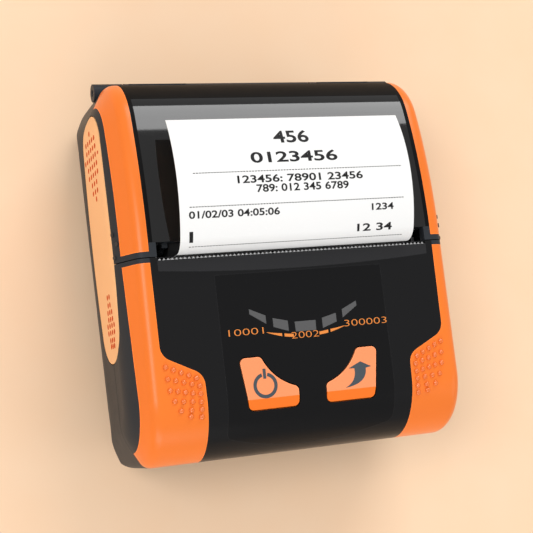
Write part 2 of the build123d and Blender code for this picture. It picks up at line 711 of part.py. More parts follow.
def bottom_case():
    """Lower shell with the battery well, screw posts and outer hinge knuckles."""
    shell = LOWER_WALL - above_seam() - OVAL
    x, y0, y1 = PACK_HALF + WELL_GAP, TEAR_Y - PACK_FORE - WELL_GAP, TEAR_Y - PACK_BACK + WELL_GAP
    top = PACK_TOP + WELL_GAP
    well = box((-x - WELL_WALL, x + WELL_WALL), (y0 - WELL_WALL, y1 + WELL_WALL),
               (-1, top + WELL_WALL))
    shell = shell + (well & L0)
    for py in (y0 + 12, y1 - 12):
        shell = shell + (join(both(box((x, HALF - 1), (py - RIB / 2, py + RIB / 2), (1, 12)))) & L0)
    posts = [post(px, py, (0, SEAM_FRONT + 2), CASE_BOSS_R) for px, py in case_screws_at()]
    posts = (join(posts) & L0) - above_seam()
    short = join([post(px, py, (0, EAR_Z), BAY_BOSS_R) for px, py in bay_screws_at()]) & L0
    shell = join([shell, posts, short])
    shell = shell - box((-x, x), (y0, y1), (-1, top))
    for px, py in case_screws_at():
        shell = shell - post(px, py, (-1, SCREW_SEAT), CASE_HEAD_R + HEAD_PLAY)
        shell = shell - post(px, py, (-1, FAR), CASE_SHANK_R + CLEAR_HOLE)
    for px, py in bay_screws_at():
        shell = shell - post(px, py, (EAR_Z - BAY_SHANK - 1, EAR_Z + 1), BAY_SHANK_R + TAP_HOLE)
    out, mid, inner = HALF - KNUCKLE_OUT, HALF - KNUCKLE_MID, HALF - KNUCKLE_IN
    knuckles = both(rod((mid, out), REAR, HINGE_Z, HINGE_R))
    knuckles.append(rod((-inner, inner), REAR, HINGE_Z, HINGE_R))
    notch = box((inner + GAP, mid - GAP), (REAR - HINGE_R - 1.5, REAR + 5),
                (HINGE_Z - HINGE_R - GAP, HIGH + 3))
    shell = (join([shell] + knuckles)) - join(both(notch))
    shell = shell - rod((-out - 1, out + 1), REAR, HINGE_Z, PIN_R + RUN_FIT)
    groove = (L0 - lower_form(PARTING_DEEP)) & above_seam(-PARTING_TALL)
    return shell - groove - latch_pocket() - port_pocket()


def side_insets():
    """Pale orange insets let into the sides across the seam."""
    prism = inset_prism(0, SKIN) & box((0, FAR), (-FAR, FAR), (-FAR, FAR))
    right = U0 & prism
    return right, mirror(right, about=Plane.YZ)


def keys():
    """Two keys with a falling lower facet, a flange and a stem each."""
    y0, y1 = TEAR_Y - KEY_LOW_Y, TEAR_Y - KEY_TOP_Y
    crease, z1 = TEAR_Y - KEY_CREASE_Y, HEIGHT - KEY_UNDER
    side = [(y0 - 1, z1 - 0.3), (y0 - 1, HEIGHT - KEY_SINK - 0.5),
            (crease, HEIGHT + KEY_RISE - 0.4), (y1 + 1, HEIGHT + KEY_RISE), (y1 + 1, z1 - 0.3)]
    cap = through(key_area(), (z1 - 1, HEIGHT + 2)) & plate(side, (0, HALF))
    flange = through(key_area(0.9), (z1 - KEY_FLANGE, z1))
    x, y = switch_at()
    stem = post(x, y, (BOARD_TOP + SWITCH_H + KEY_TRAVEL + KEY_PLAY, z1), 2.0)
    right = join([cap, flange, stem])
    return mirror(right, about=Plane.YZ), right


def switch_at():
    return (KEY_IN_LOW + KEY_OUT_LOW) / 2 + 1.0, TEAR_Y - (KEY_STEP_Y + KEY_LOW_Y) / 2


def status_windows():
    """Five light guides from the face down to the board."""
    bars = []
    for area in window_area():
        bars.append(through(area, (BOARD_TOP + 0.9, HEIGHT - 0.02)))
    return Compound(children=bars)


# Cover

def cover_parts():
    """Frame, glossy lid and orange strips, cut from one curved shell."""
    shell = UPPER_WALL & above_seam(GAP) & BEHIND
    slot = box((-SLOT_HALF, SLOT_HALF), (-FAR, LIP_Y), (LOW, FAR))
    shell = shell - slot - OVAL
    field = shell & UPPER_SKIN
    wide = box((-STRIP_IN, STRIP_IN), (-FAR, FAR), (-FAR, FAR))
    lid = field & wide & cover_lid_field()
    strips = (field - wide) & cover_strip_field()
    frame = shell - lid - strips
    lugs = []
    for s in (-1, 1):
        a, b = sorted((s * (PAPER_WIDTH / 2 + 1.9), s * (PAPER_WIDTH / 2 + 1.9 + LUG_WALL)))
        eye = rod((a, b), PLATEN_Y, PLATEN_Z, SHAFT_R + 2.2)
        stem = box((a, b), (PLATEN_Y - 2.4, PLATEN_Y + 3.7), (PLATEN_Z, HEIGHT - WALL + 0.4))
        lugs.append(eye + stem - rod((a - 1, b + 1), PLATEN_Y, PLATEN_Z, SHAFT_R + RUN_FIT))
    arms = []
    for s in (-1, 1):
        a, b = sorted((s * (HALF - KNUCKLE_IN + 2 * GAP), s * (HALF - KNUCKLE_MID - 2 * GAP)))
        arm = box((a, b), (REAR - 2.6, REAR + 0.6), (HINGE_Z, HEIGHT - LID_DROP))
        arm = rod((a, b), REAR, HINGE_Z, HINGE_R) + arm
        arms.append(arm - rod((a - 1, b + 1), REAR, HINGE_Z, PIN_R + RUN_FIT))
    frame = join([frame] + lugs + arms + cover_ribs()) - join(grip_studs())
    right = strips & box((0, FAR), (-FAR, FAR), (-FAR, FAR))
    return frame, lid, mirror(right, about=Plane.YZ), right


def cover_ribs():
    """Two low ribs inside the cover, clear of the full roll."""
    core = rod((-HALF, HALF), TEAR_Y + CROWN_START, HEIGHT - CROWN_R, CROWN_R - WALL - RIB_DEEP)
    bar = box((RIB_X - RIB / 2, RIB_X + RIB / 2), (LIP_Y + 9, REAR - REAR_R), (LOW, HEIGHT - WALL + 0.5))
    return both((bar & U1) - core)


def cover_lid_field():
    """The lid stops at the lip and short of the cover's rear edge."""
    return box((-FAR, FAR), (LIP_Y, FAR), (HEIGHT - LID_DROP, FAR))


def grip_studs():
    """Three small round studs on each cheek, beside the split."""
    slope = atan2(BAND_X, BAND_Z)
    low = HEIGHT - BAND_Z - CHEEK_R * tan(slope / 2)
    studs = []
    for behind, drop in STUDS:
        y, z = SPLIT_Y + behind, HEIGHT - drop
        turn = asin((z - low) / CHEEK_R)
        x = HALF - CHEEK_R + CHEEK_R * cos(turn)
        stud = extrude(Pos(0, 0, -STUD_DEEP) * RegularPolygon(STUD_R, 12), STUD_RISE + STUD_DEEP)
        studs += both(Pos(x, y, z) * Rot(0, 90 - degrees(turn), 0) * stud)
    return studs


# Paper

def paper_roll():
    paper = rod((-PAPER_WIDTH / 2, PAPER_WIDTH / 2), ROLL_Y, ROLL_Z, ROLL_R)
    core = rod((-PAPER_WIDTH / 2, PAPER_WIDTH / 2), ROLL_Y, ROLL_Z, CORE_R)
    bore = rod((-HALF, HALF), ROLL_Y, ROLL_Z, CORE_R - CORE_WALL)
    return paper - core, core - bore


def paper_web():
    """Paper from the front of the roll up to the print line."""
    bend = (WEB_Y, PLATEN_Z - 3.5)
    reach = ROLL_R + 0.15 + PAPER_THICK / 2
    dy, dz = bend[0] - ROLL_Y, bend[1] - ROLL_Z
    gap = hypot(dy, dz)
    angle = atan2(dz, dy) + acos(reach / gap)
    touch = (ROLL_Y + reach * cos(angle), ROLL_Z + reach * sin(angle))
    path = [(WEB_Y, PLATEN_Z + 4.8), bend, touch]
    return plate(thicken(path, PAPER_THICK), (-PAPER_WIDTH / 2, PAPER_WIDTH / 2))


def thicken(path, thick):
    """Outline of a bent line with the given thickness."""
    left, right = [], []
    for k, (y, z) in enumerate(path):
        a = path[max(k - 1, 0)]
        b = path[min(k + 1, len(path) - 1)]
        ty, tz = b[0] - a[0], b[1] - a[1]
        size = hypot(ty, tz)
        ny, nz = -tz / size * thick / 2, ty / size * thick / 2
        left.append((y + ny, z + nz))
        right.append((y - ny, z - nz))
    return left + right[::-1]


def receipt_strip():
    """Printed strip: up through the slot, then over the cover in a long curl."""
    y0, z0, z1 = WEB_Y, PLATEN_Z + 5.2, HEIGHT - 0.4
    half = PAPER_THICK / 2
    mid = (y0 + CURL_R, z1)
    end = 180 - CURL_TURN
    top = (mid[0] + CURL_R * cos(radians(end)), mid[1] + CURL_R * sin(radians(end)))
    big = (top[0] - SHEET_R * cos(radians(end)), top[1] - SHEET_R * sin(radians(end)))

    def at(c, r, a):
        return c[0] + r * cos(radians(a)), c[1] + r * sin(radians(a))

    last = end - SHEET_TURN
    lines = [Line((y0 - half, z0), (y0 - half, z1)),
             CenterArc(mid, CURL_R + half, 180, -CURL_TURN),
             CenterArc(big, SHEET_R + half, end, -SHEET_TURN),
             Line(at(big, SHEET_R + half, last), at(big, SHEET_R - half, last)),
             CenterArc(big, SHEET_R - half, last, SHEET_TURN),
             CenterArc(mid, CURL_R - half, end, CURL_TURN),
             Line((y0 + half, z1), (y0 + half, z0)),
             Line((y0 + half, z0), (y0 - half, z0))]
    face = Plane.YZ.offset(-PAPER_WIDTH / 2) * make_face(Curve() + lines)
    return extrude(face, PAPER_WIDTH)


def paper_bay():
    """Trough under the roll with side walls, hubs for the core and screw ears."""
    inner, outer = BAY_R - BAY_FLOOR, BAY_R
    x1 = PAPER_WIDTH / 2 + BAY_CLEAR
    x2 = x1 + BAY_WALL
    trough = rod((-x2, x2), ROLL_Y, ROLL_Z, outer) - rod((-x2, x2), ROLL_Y, ROLL_Z, inner)
    reach = outer + 4
    fan = [(ROLL_Y, ROLL_Z)] + [(ROLL_Y + reach * cos(radians(a)), ROLL_Z + reach * sin(radians(a)))
                                for a in (216, 243, 270, 297, 324)]
    bay = trough & plate(fan, (-x2, x2))
    walls = []
    for s in (-1, 1):
        a, b = sorted((s * x1, s * x2))
        wall = rod((a, b), ROLL_Y, ROLL_Z, outer)
        wall = wall & box((a, b), (ROLL_Y - outer, REAR - WALL - 0.4), (0, ROLL_Z + 18))
        c, d = sorted((s * (x1 + 0.1), s * (x1 - HUB_LONG)))
        walls += [wall, drum((c, d), ROLL_Y, ROLL_Z, CORE_R - CORE_WALL - HUB_PLAY)]
        c, d = sorted((s * (x2 - 0.1), s * (HALF - 7.0)))
        ear = box((c, d), (ROLL_Y - EAR_HALF, ROLL_Y + EAR_HALF), (EAR_Z, EAR_Z + BAY_EAR))
        hole = post(s * (HALF - BAY_SCREW), ROLL_Y, (0, FAR), BAY_SHANK_R + CLEAR_HOLE)
        walls.append(ear - hole)
    return join([bay] + walls)


# Print mechanism

def gear(teeth, phase, x, y, z, bore):
    """Straight-flanked spur wheel with play in its mesh, one tooth at the phase."""
    r = teeth * MODULE / 2
    tip, root = r + 0.85 * MODULE, r - 1.15 * MODULE
    half = pi / teeth / 2 * 0.8
    slope = tan(radians(20))
    a_tip = half - 0.85 * MODULE * slope / r
    a_root = half + 1.0 * MODULE * slope / r
    points = []
    for k in range(teeth):
        mid = radians(phase) + 2 * pi * k / teeth
        for radius, offset in ((root, -a_root), (tip, -a_tip), (tip, a_tip), (root, a_root)):
            points.append((radius * cos(mid + offset), radius * sin(mid + offset)))
    face = make_face(Polyline(*points, close=True)) - Circle(bore)
    return Pos(0, y, z) * extrude(Plane.YZ.offset(x) * face, GEAR_WIDE)


def train():
    """Centres and phases of the wheels, from the platen to the motor."""
    def step(start, reach, angle):
        return (start[0] + reach * cos(radians(angle)), start[1] + reach * sin(radians(angle)))

    def mate(phase, angle, teeth, other):
        """Phase that puts a gap of the next wheel on a tooth of this one."""
        turned = (phase - angle) * teeth / 360
        return angle + 180 + (0.5 - turned) * 360 / other

    p = (PLATEN_Y, PLATEN_Z)
    a = step(p, (PLATEN_TEETH + IDLER_A_TEETH) * MODULE / 2 + MESH, TRAIN_A)
    b = step(a, (IDLER_A_TEETH + IDLER_B_TEETH) * MODULE / 2 + MESH, TRAIN_B)
    m = step(b, (IDLER_B_TEETH + PINION_TEETH) * MODULE / 2 + MESH, TRAIN_M)
    phase_a = mate(0, TRAIN_A, PLATEN_TEETH, IDLER_A_TEETH)
    phase_b = mate(phase_a, TRAIN_B, IDLER_A_TEETH, IDLER_B_TEETH)
    phase_m = mate(phase_b, TRAIN_M, IDLER_B_TEETH, PINION_TEETH)
    return (p, 0), (a, phase_a), (b, phase_b), (m, phase_m)


def platen_parts():
    half = PAPER_WIDTH / 2 + 0.8
    rubber = rod((-half, half), PLATEN_Y, PLATEN_Z, PLATEN_R) - rod((-HALF, HALF), PLATEN_Y,
                                                                   PLATEN_Z, SHAFT_R)
    shaft = rod((-FRAME_X - FRAME_SHEET - 0.6, GEAR_X + GEAR_WIDE), PLATEN_Y, PLATEN_Z, SHAFT_R)
    wheel = gear(PLATEN_TEETH, 0, GEAR_X, PLATEN_Y, PLATEN_Z, SHAFT_R)
    bushes = []
    for s in (-1, 1):
        mid = s * (FRAME_X + FRAME_SHEET / 2)
        ring = drum((mid - BUSH_LONG / 2, mid + BUSH_LONG / 2), PLATEN_Y, PLATEN_Z, BUSH_R, 16)
        bushes.append(ring - rod((-HALF, HALF), PLATEN_Y, PLATEN_Z, SHAFT_R + RUN_FIT))
    return rubber, shaft, wheel, bushes


def mechanism_frame():
    """Folded steel frame: two side plates, a cross wall, a foot and gear axles."""
    (p, _), (a, _), (b, _), (m, _) = train()
    seat = p[0] - BUSH_R - 0.15
    z0 = FRAME_Z
    right = [(m[0] - MOTOR_R - 1, z0), (p[0] + 5, z0), (p[0] + 5, p[1] - 1), (seat + 0.01, p[1] - 1),
             (seat, p[1] + 4), (seat - 5, p[1] + 4), (CROSS_Y - 4, BOARD_Z - 1),
             (m[0] - MOTOR_R - 1, BOARD_Z - 1)]
    left = [(CROSS_Y - 3, z0)] + right[1:6] + [(CROSS_Y - 3, BOARD_Z - 1)]
    plates = [plate(right, (FRAME_X, FRAME_X + FRAME_SHEET)),
              plate(left, (-FRAME_X - FRAME_SHEET, -FRAME_X))]
    wall = box((-FRAME_X, FRAME_X), (CROSS_Y - FRAME_SHEET, CROSS_Y), (z0, BOARD_Z - 3))
    foot = box((-FRAME_X, FRAME_X), (CROSS_Y - 12, CROSS_Y), (z0, z0 + FRAME_SHEET))
    axles = [rod((FRAME_X, GEAR_X + GEAR_WIDE + 0.8), y, z, AXLE_R) for y, z in (a, b)]
    collars = [drum((FRAME_X, GEAR_X - 0.2), y, z, AXLE_R + 1, 16) for y, z in (a, b)]
    frame = join(plates + [wall, foot] + axles + collars)
    frame = frame - rod((-HALF, HALF), p[0], p[1], BUSH_R + 0.1)
    y, z = sink_pivot()
    frame = frame - drum((-HALF, HALF), y, z, PIN_R + RUN_FIT, 12)
    return frame - drum((FRAME_X - 1, HALF), m[0], m[1], 2.4, 16)


def sink_pivot():
    return HEAD_Y - HEAD_THICK - SINK_THICK / 2, PLATEN_Z - 12.0


def head_parts():
    """Ceramic print head on a ribbed aluminium carrier with two pivot pins."""
    z0, z1 = PLATEN_Z - 13.5, PLATEN_Z + 3
    head = box((-HEAD_HALF, HEAD_HALF), (HEAD_Y - HEAD_THICK, HEAD_Y), (PLATEN_Z - 5.5, PLATEN_Z + 4))
    y1 = HEAD_Y - HEAD_THICK
    sink = box((-HEAD_HALF, HEAD_HALF), (y1 - SINK_THICK, y1), (z0, z1))
    for k in range(9):
        x = (k - 4) * 8.4
        if abs(abs(x) - SPRING_X) > SPRING_WIDE / 2 + 0.5:
            sink = sink - box((x - 2.2, x + 2.2), (y1 - SINK_THICK - 1, y1 - 1.2), (z0 - 1, z1 - 4))
    y, z = sink_pivot()
    pins = both(drum((HEAD_HALF - 0.1, FRAME_X + FRAME_SHEET), y, z, PIN_R, 12))
    return head, join([sink] + pins)


def head_springs():
    """Two folded leaf springs between the cross wall and the head's carrier."""
    z0, z1 = HEIGHT - SPRING_DROP - SPRING_TALL / 2, HEIGHT - SPRING_DROP + SPRING_TALL / 2
    y0, y1 = CROSS_Y, CROSS_Y + SPRING_GAP
    half = SPRING_LEAF / 2
    path = [(y0 + half, z0), (y0 + half, z1 - 1.0), (y0 + 1.2, z1), (y1 - half, (z0 + z1) / 2),
            (y1 - 0.9, z0)]
    leaf = plate(thicken(path, SPRING_LEAF), (SPRING_X - SPRING_WIDE / 2, SPRING_X + SPRING_WIDE / 2))
    leaf = leaf & box((0, HALF), (y0, y1), (z0 - 1, z1 + 1))
    return both(leaf)


def motor():
    """Stepper can with its mounting ears, on the right plate."""
    y, z = train()[3][0]
    can = rod((FRAME_X - MOTOR_LONG, FRAME_X), y, z, MOTOR_R)
    ears = box((FRAME_X - 1.0, FRAME_X), (y - MOTOR_R - 0.6, y + MOTOR_R + 3), (z - 2.5, z + 2.5))
    boss = drum((FRAME_X - MOTOR_LONG - 1.2, FRAME_X - MOTOR_LONG + 0.1), y, z, 3.0, 16)
    return join([can, ears, boss]) - drum((FRAME_X - 6, HALF), y, z, 1.15, 12)


def pinion():
    (y, z), phase = train()[3]
    wheel = gear(PINION_TEETH, phase, GEAR_X, y, z, 0.9)
    return wheel + rod((FRAME_X - 5.5, GEAR_X + GEAR_WIDE), y, z, 1.0)


def idlers():
    wheels = []
    for (centre, phase), teeth in zip(train()[1:3], (IDLER_A_TEETH, IDLER_B_TEETH)):
        wheels.append(gear(teeth, phase, GEAR_X, centre[0], centre[1], AXLE_R + RUN_FIT))
    return wheels


def paper_sensor():
    y0 = CROSS_Y + 0.1
    z, half, r = FRAME_Z + SENSOR_UP, SENSOR_TALL / 2, SENSOR_EYE_R
    body = box((-SENSOR_HALF, SENSOR_HALF), (y0, y0 + SENSOR_DEEP), (z - half, z + half))
    eyes = join([drum((x - r, x + r), y0 + SENSOR_DEEP, z, r, 12) for x in (-2 * r, 2 * r)])
    return body + eyes


# Electronics

def main_board():
    board = box((-BOARD_HALF, BOARD_HALF), (FRONT + BOARD_FORE, TEAR_Y - BOARD_BACK),
                (BOARD_Z, BOARD_TOP))
    for x, y in board_posts():
        board = board - post(x, y, (BOARD_Z - 1, BOARD_TOP + 1), BOARD_SHANK_R + TAP_HOLE)
    return board


def board_chips():
    mid = (FRONT + BOARD_FORE + TEAR_Y - BOARD_BACK) / 2
    chips = []
    for x, along, wide, long, tall, side in CHIPS:
        face = BOARD_TOP if side > 0 else BOARD_Z
        chips.append(box((x - wide / 2, x + wide / 2), (mid + along - long / 2, mid + along + long / 2),
                         (face, face + side * tall)))
    return chips


def screw(x, y, seat, head, shank):
    """A headed screw along Z: its head, as (height, radius), and its shank, as (end, radius)."""
    top = post(x, y, (seat, seat + head[0]), head[1])
    return top + post(x, y, (seat, shank[0]), shank[1], SHANK_SIDES)


def board_screws():
    head, shank = (-BOARD_HEAD, BOARD_HEAD_R), (BOARD_TOP, BOARD_SHANK_R)
    return [screw(x, y, BOARD_Z, head, shank) for x, y in board_posts()]


def key_switches():
    x, y = switch_at()
    s = SWITCH / 2
    body = box((x - s, x + s), (y - s, y + s), (BOARD_TOP, BOARD_TOP + SWITCH_H - 0.6))
    return both(body + post(x, y, (BOARD_TOP, BOARD_TOP + SWITCH_H), 1.6))


# Power

def battery_pack():
    """Pack whose lower face is part of the printer's back, with a latch notch."""
    y0, y1 = TEAR_Y - PACK_FORE, TEAR_Y - PACK_BACK
    body = L0 & box((-PACK_HALF, PACK_HALF), (y0, y1), (-1, PACK_TOP))
    w = PACK_WALL
    body = body - box((w - PACK_HALF, PACK_HALF - w), (y0 + w, y1 - w),
                      (PACK_FLOOR, PACK_TOP - w))
    ribs = []
    for k in range(PACK_GRIPS):
        x = (k - (PACK_GRIPS - 1) / 2) * PACK_GRIP_PITCH
        ribs.append(box((x - RIB / 2, x + RIB / 2), (y0 + 6, y1 - 6), (-1, PACK_GRIP_DEEP)))
    notch = box((-LATCH_HALF + 1.5, LATCH_HALF - 1.5), (y0 - 1, y0 + 1.0), (3.5, 6.5))
    return body - join(ribs) - notch


def battery_cells():
    mid = TEAR_Y - (PACK_FORE + PACK_BACK) / 2
    z = (PACK_FLOOR + PACK_TOP - PACK_WALL) / 2
    reach = CELL_LONG / 2 - CELL_TIP_LONG
    cells = []
    for s in (-1, 1):
        y = mid + s * (CELL_R + CELL_PLAY)
        can = drum((-CELL_LONG / 2, reach), y, z, CELL_R, 24)
        cells.append(can + drum((reach, CELL_LONG / 2), y, z, CELL_TIP, 12))
    return cells


def battery_contacts():
    """Contact block on the well's wall, at the back end of the pack."""
    y1 = TEAR_Y - PACK_BACK + WELL_GAP + WELL_WALL
    return box((-CONTACT_HALF, CONTACT_HALF), (y1, y1 + CONTACT_THICK), (WALL, WALL + CONTACT_TALL))


def latch_pocket():
    """Shallow recess ahead of the well for the sliding latch."""
    y1 = TEAR_Y - PACK_FORE - WELL_GAP
    y0 = y1 - LATCH_LONG - LATCH_TRAVEL - 2.4
    wide, top = LATCH_HALF + LATCH_PLAY, LATCH_UP + 0.2 + LATCH_THICK
    recess = box((-wide, wide), (y0, y1 + 0.5), (-5, top))
    nose = box((-LATCH_HALF + 1.2, LATCH_HALF - 1.2), (y0, y1 + 0.5), (LATCH_UP, top + 1.4))
    return recess + nose


def battery_latch():
    """Thumb slide with a nose that enters the pack's notch."""
    y1 = TEAR_Y - PACK_FORE - WELL_GAP - LATCH_PLAY
    y0 = y1 - LATCH_LONG
    z0 = LATCH_UP
    slide = box((-LATCH_HALF, LATCH_HALF), (y0, y1), (z0, z0 + LATCH_THICK))
    nose = box((-LATCH_HALF + 2.0, LATCH_HALF - 2.0), (y0 + 1, y1 + LATCH_NOSE), (z0 + 0.6, z0 + 3.0))
    ribs = []
    for k in range(LATCH_RIBS):
        y = y0 + 1 + LATCH_RIB_PITCH * k
        ribs.append(box((-5, 5), (y, y + 0.8), (z0 - 0.6, z0)))
    return join([slide, nose] + ribs)


def port_pocket():
    """Recess for the port cover and the openings of the socket behind it."""
    x = (PORT_X - PORT_HALF - PORT_PLAY, PORT_X + PORT_HALF + PORT_PLAY)
    recess = box(x, (FRONT - 5, FRONT + PORT_LID + 0.1), (PORT_LOW, PORT_HIGH))
    mouth = box((PORT_X - MOUTH_HALF, PORT_X + MOUTH_HALF), (FRONT, FRONT + WALL + 1),
                (PORT_LOW + MOUTH_SILL, PORT_HIGH - MOUTH_HEAD))
    return recess + mouth


def port_socket():
    """Charging and data socket block, seated behind the port's mouth."""
    y0, half = FRONT + WALL - SOCKET_IN, MOUTH_HALF - SOCKET_PLAY
    block = box((PORT_X - half, PORT_X + half), (y0, y0 + SOCKET_LONG),
                (PORT_LOW + MOUTH_SILL + SOCKET_PLAY, PORT_HIGH - MOUTH_HEAD - SOCKET_PLAY))
    slot = box([PORT_X + x for x in SLOT_X], (y0 - 1, y0 + 6), [PORT_LOW + z for z in SLOT_Z])
    tongue = box([PORT_X + x for x in TONGUE_X], (y0 + 1, y0 + 6.1), [PORT_LOW + z for z in TONGUE_Z])
    centre = Plane.XZ.offset(-y0 - 6) * Pos(PORT_X + JACK_X, PORT_LOW + JACK_Z)
    jack = extrude(centre * RegularPolygon(JACK_R, 16), 7)
    pin = extrude(centre * RegularPolygon(JACK_PIN_R, 8), 5.2)
    return (block - slot + tongue) - jack + pin


def port_board():
    y0 = FRONT + WALL + 0.3
    top = PORT_LOW + MOUTH_SILL + SOCKET_PLAY
    return box((PORT_X - PORT_HALF, PORT_X + PORT_HALF), (y0, y0 + PORT_BOARD_LONG),
               (top - PORT_BOARD_THICK, top))


def port_cover():
    """Rubber cover that swings down on its lower edge, with a plug and a nail notch."""
    r = PORT_LID / 2
    y, z = FRONT + r, PORT_LOW + 0.2 + r
    x = (PORT_X - PORT_HALF, PORT_X + PORT_HALF)
    flap = box(x, (FRONT, FRONT + PORT_LID), (z, PORT_HIGH - 0.2)) + rod(x, y, z, r)
    plug = box((PORT_X - PLUG_HALF, PORT_X + PLUG_HALF), (FRONT + PORT_LID - 0.1, FRONT + PORT_LID + 1.0),
               (PORT_LOW + 3.2, PORT_HIGH - 3.6))
    nail = box((PORT_X - NAIL_HALF, PORT_X + NAIL_HALF), (FRONT - 1, FRONT + PORT_LID / 2),
               (PORT_HIGH - PORT_LID, PORT_HIGH))
    return flap + plug - nail


# Fasteners

def case_screws():
    head, shank = (-CASE_HEAD, CASE_HEAD_R), (SEAM_FRONT + 6, CASE_SHANK_R)
    return [screw(x, y, SCREW_SEAT, head, shank) for x, y in case_screws_at()]


def bay_screws():
    seat = EAR_Z + BAY_EAR
    head, shank = (BAY_HEAD, BAY_HEAD_R), (seat - BAY_SHANK, BAY_SHANK_R)
    return [screw(x, y, seat, head, shank) for x, y in bay_screws_at()]


def hinge_pin():
    reach = HALF - KNUCKLE_OUT - 0.4
    return rod((-reach, reach), REAR, HINGE_Z, PIN_R)


def save(name, shape):
    if isinstance(shape, list):
        shape = Compound(children=shape)
    export_step(shape, f"parts/{name}.step")


def main():
    os.makedirs("parts", exist_ok=True)
    strip_right, strip_left = lower_strips()
    panel, overlay = control_panel()
    save("front_housing", front_housing())
    save("lower_strip_right", strip_right)
    save("lower_strip_left", strip_left)
    save("control_panel", panel)
    save("panel_overlay", overlay)
    save("slot_bezel", slot_bezel())
    save("tear_bar", tear_bar())
    save("bottom_case", bottom_case())
    inset_right, inset_left = side_insets()
    save("side_inset_right", inset_right)
    save("side_inset_left", inset_left)
    power, feed = keys()
    save("power_key", power)
    save("feed_key", feed)
    save("status_windows", status_windows())

    frame, lid, cover_left, cover_right = cover_parts()
    save("cover_frame", frame)
    save("cover_lid", lid)
    save("cover_strip_left", cover_left)
    save("cover_strip_right", cover_right)
    save("cover_grip_studs", grip_studs())
    save("hinge_pin", hinge_pin())

    paper, core = paper_roll()
    save("paper_roll", paper)
    save("roll_core", core)
    save("paper_web", paper_web())
    save("receipt_strip", receipt_strip())
    save("paper_bay", paper_bay())

    rubber, shaft, wheel, bushes = platen_parts()
    save("platen_rubber", rubber)
    save("platen_shaft", shaft)
    save("platen_gear", wheel)
    save("platen_bushings", bushes)
    save("mechanism_frame", mechanism_frame())
    head, sink = head_parts()
    save("print_head", head)
    save("head_carrier", sink)
    save("head_springs", head_springs())
    save("stepper_motor", motor())
    save("motor_pinion", pinion())
    idler_a, idler_b = idlers()
    save("idler_gear_a", idler_a)
    save("idler_gear_b", idler_b)
    save("paper_sensor", paper_sensor())

    save("main_board", main_board())
    save("board_chips", board_chips())
    save("board_screws", board_screws())
    save("key_switches", key_switches())
    save("port_socket", port_socket())
    save("port_board", port_board())
    save("port_cover", port_cover())

    save("battery_pack", battery_pack())
    save("battery_cells", battery_cells())
    save("battery_contacts", battery_contacts())
    save("battery_latch", battery_latch())
    save("case_screws", case_screws())
    save("bay_screws", bay_screws())


main()
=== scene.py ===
"""Looks of a portable receipt printer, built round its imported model."""
import logging
import math
from contextlib import contextmanager
from dataclasses import dataclass
from enum import Enum
from typing import Callable, Iterator, Optional, Sequence

import bpy
from mathutils import Matrix, Vector


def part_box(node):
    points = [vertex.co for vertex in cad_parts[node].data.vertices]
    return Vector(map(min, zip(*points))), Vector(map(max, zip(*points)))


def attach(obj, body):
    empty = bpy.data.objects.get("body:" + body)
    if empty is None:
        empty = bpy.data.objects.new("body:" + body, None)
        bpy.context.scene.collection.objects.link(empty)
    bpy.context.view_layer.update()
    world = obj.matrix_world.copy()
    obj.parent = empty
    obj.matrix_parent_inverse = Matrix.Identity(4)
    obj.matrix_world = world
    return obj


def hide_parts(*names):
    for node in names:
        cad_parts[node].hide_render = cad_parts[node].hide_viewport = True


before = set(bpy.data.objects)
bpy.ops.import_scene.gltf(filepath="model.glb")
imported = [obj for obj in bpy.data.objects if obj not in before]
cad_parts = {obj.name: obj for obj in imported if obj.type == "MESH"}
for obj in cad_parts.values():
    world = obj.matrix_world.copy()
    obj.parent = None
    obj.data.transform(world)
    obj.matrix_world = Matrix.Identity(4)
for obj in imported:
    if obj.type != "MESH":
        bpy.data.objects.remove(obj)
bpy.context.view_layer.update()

LOG = logging.getLogger("receipt_printer")
MM = 0.001
WELD = 1e-6
Colour = tuple[float, float, float]
Point = tuple[float, float]
Socket = bpy.types.NodeSocket


def srgb(code: str) -> Colour:
    """Linear colour of a display colour, by the standard display curve.

    Args:
        code: six hexadecimal digits.

    Returns:
        Linear red, green and blue.
    """
    parts = [int(code[i:i + 2], 16) / 255 for i in (0, 2, 4)]
    return tuple(c / 12.92 if c <= 0.04045 else ((c + 0.055) / 1.055) ** 2.4 for c in parts)


def shade(colour: Colour, factor: float) -> Colour:
    """The colour made darker or lighter by a factor."""
    return tuple(min(c * factor, 1.0) for c in colour)


# Node trees

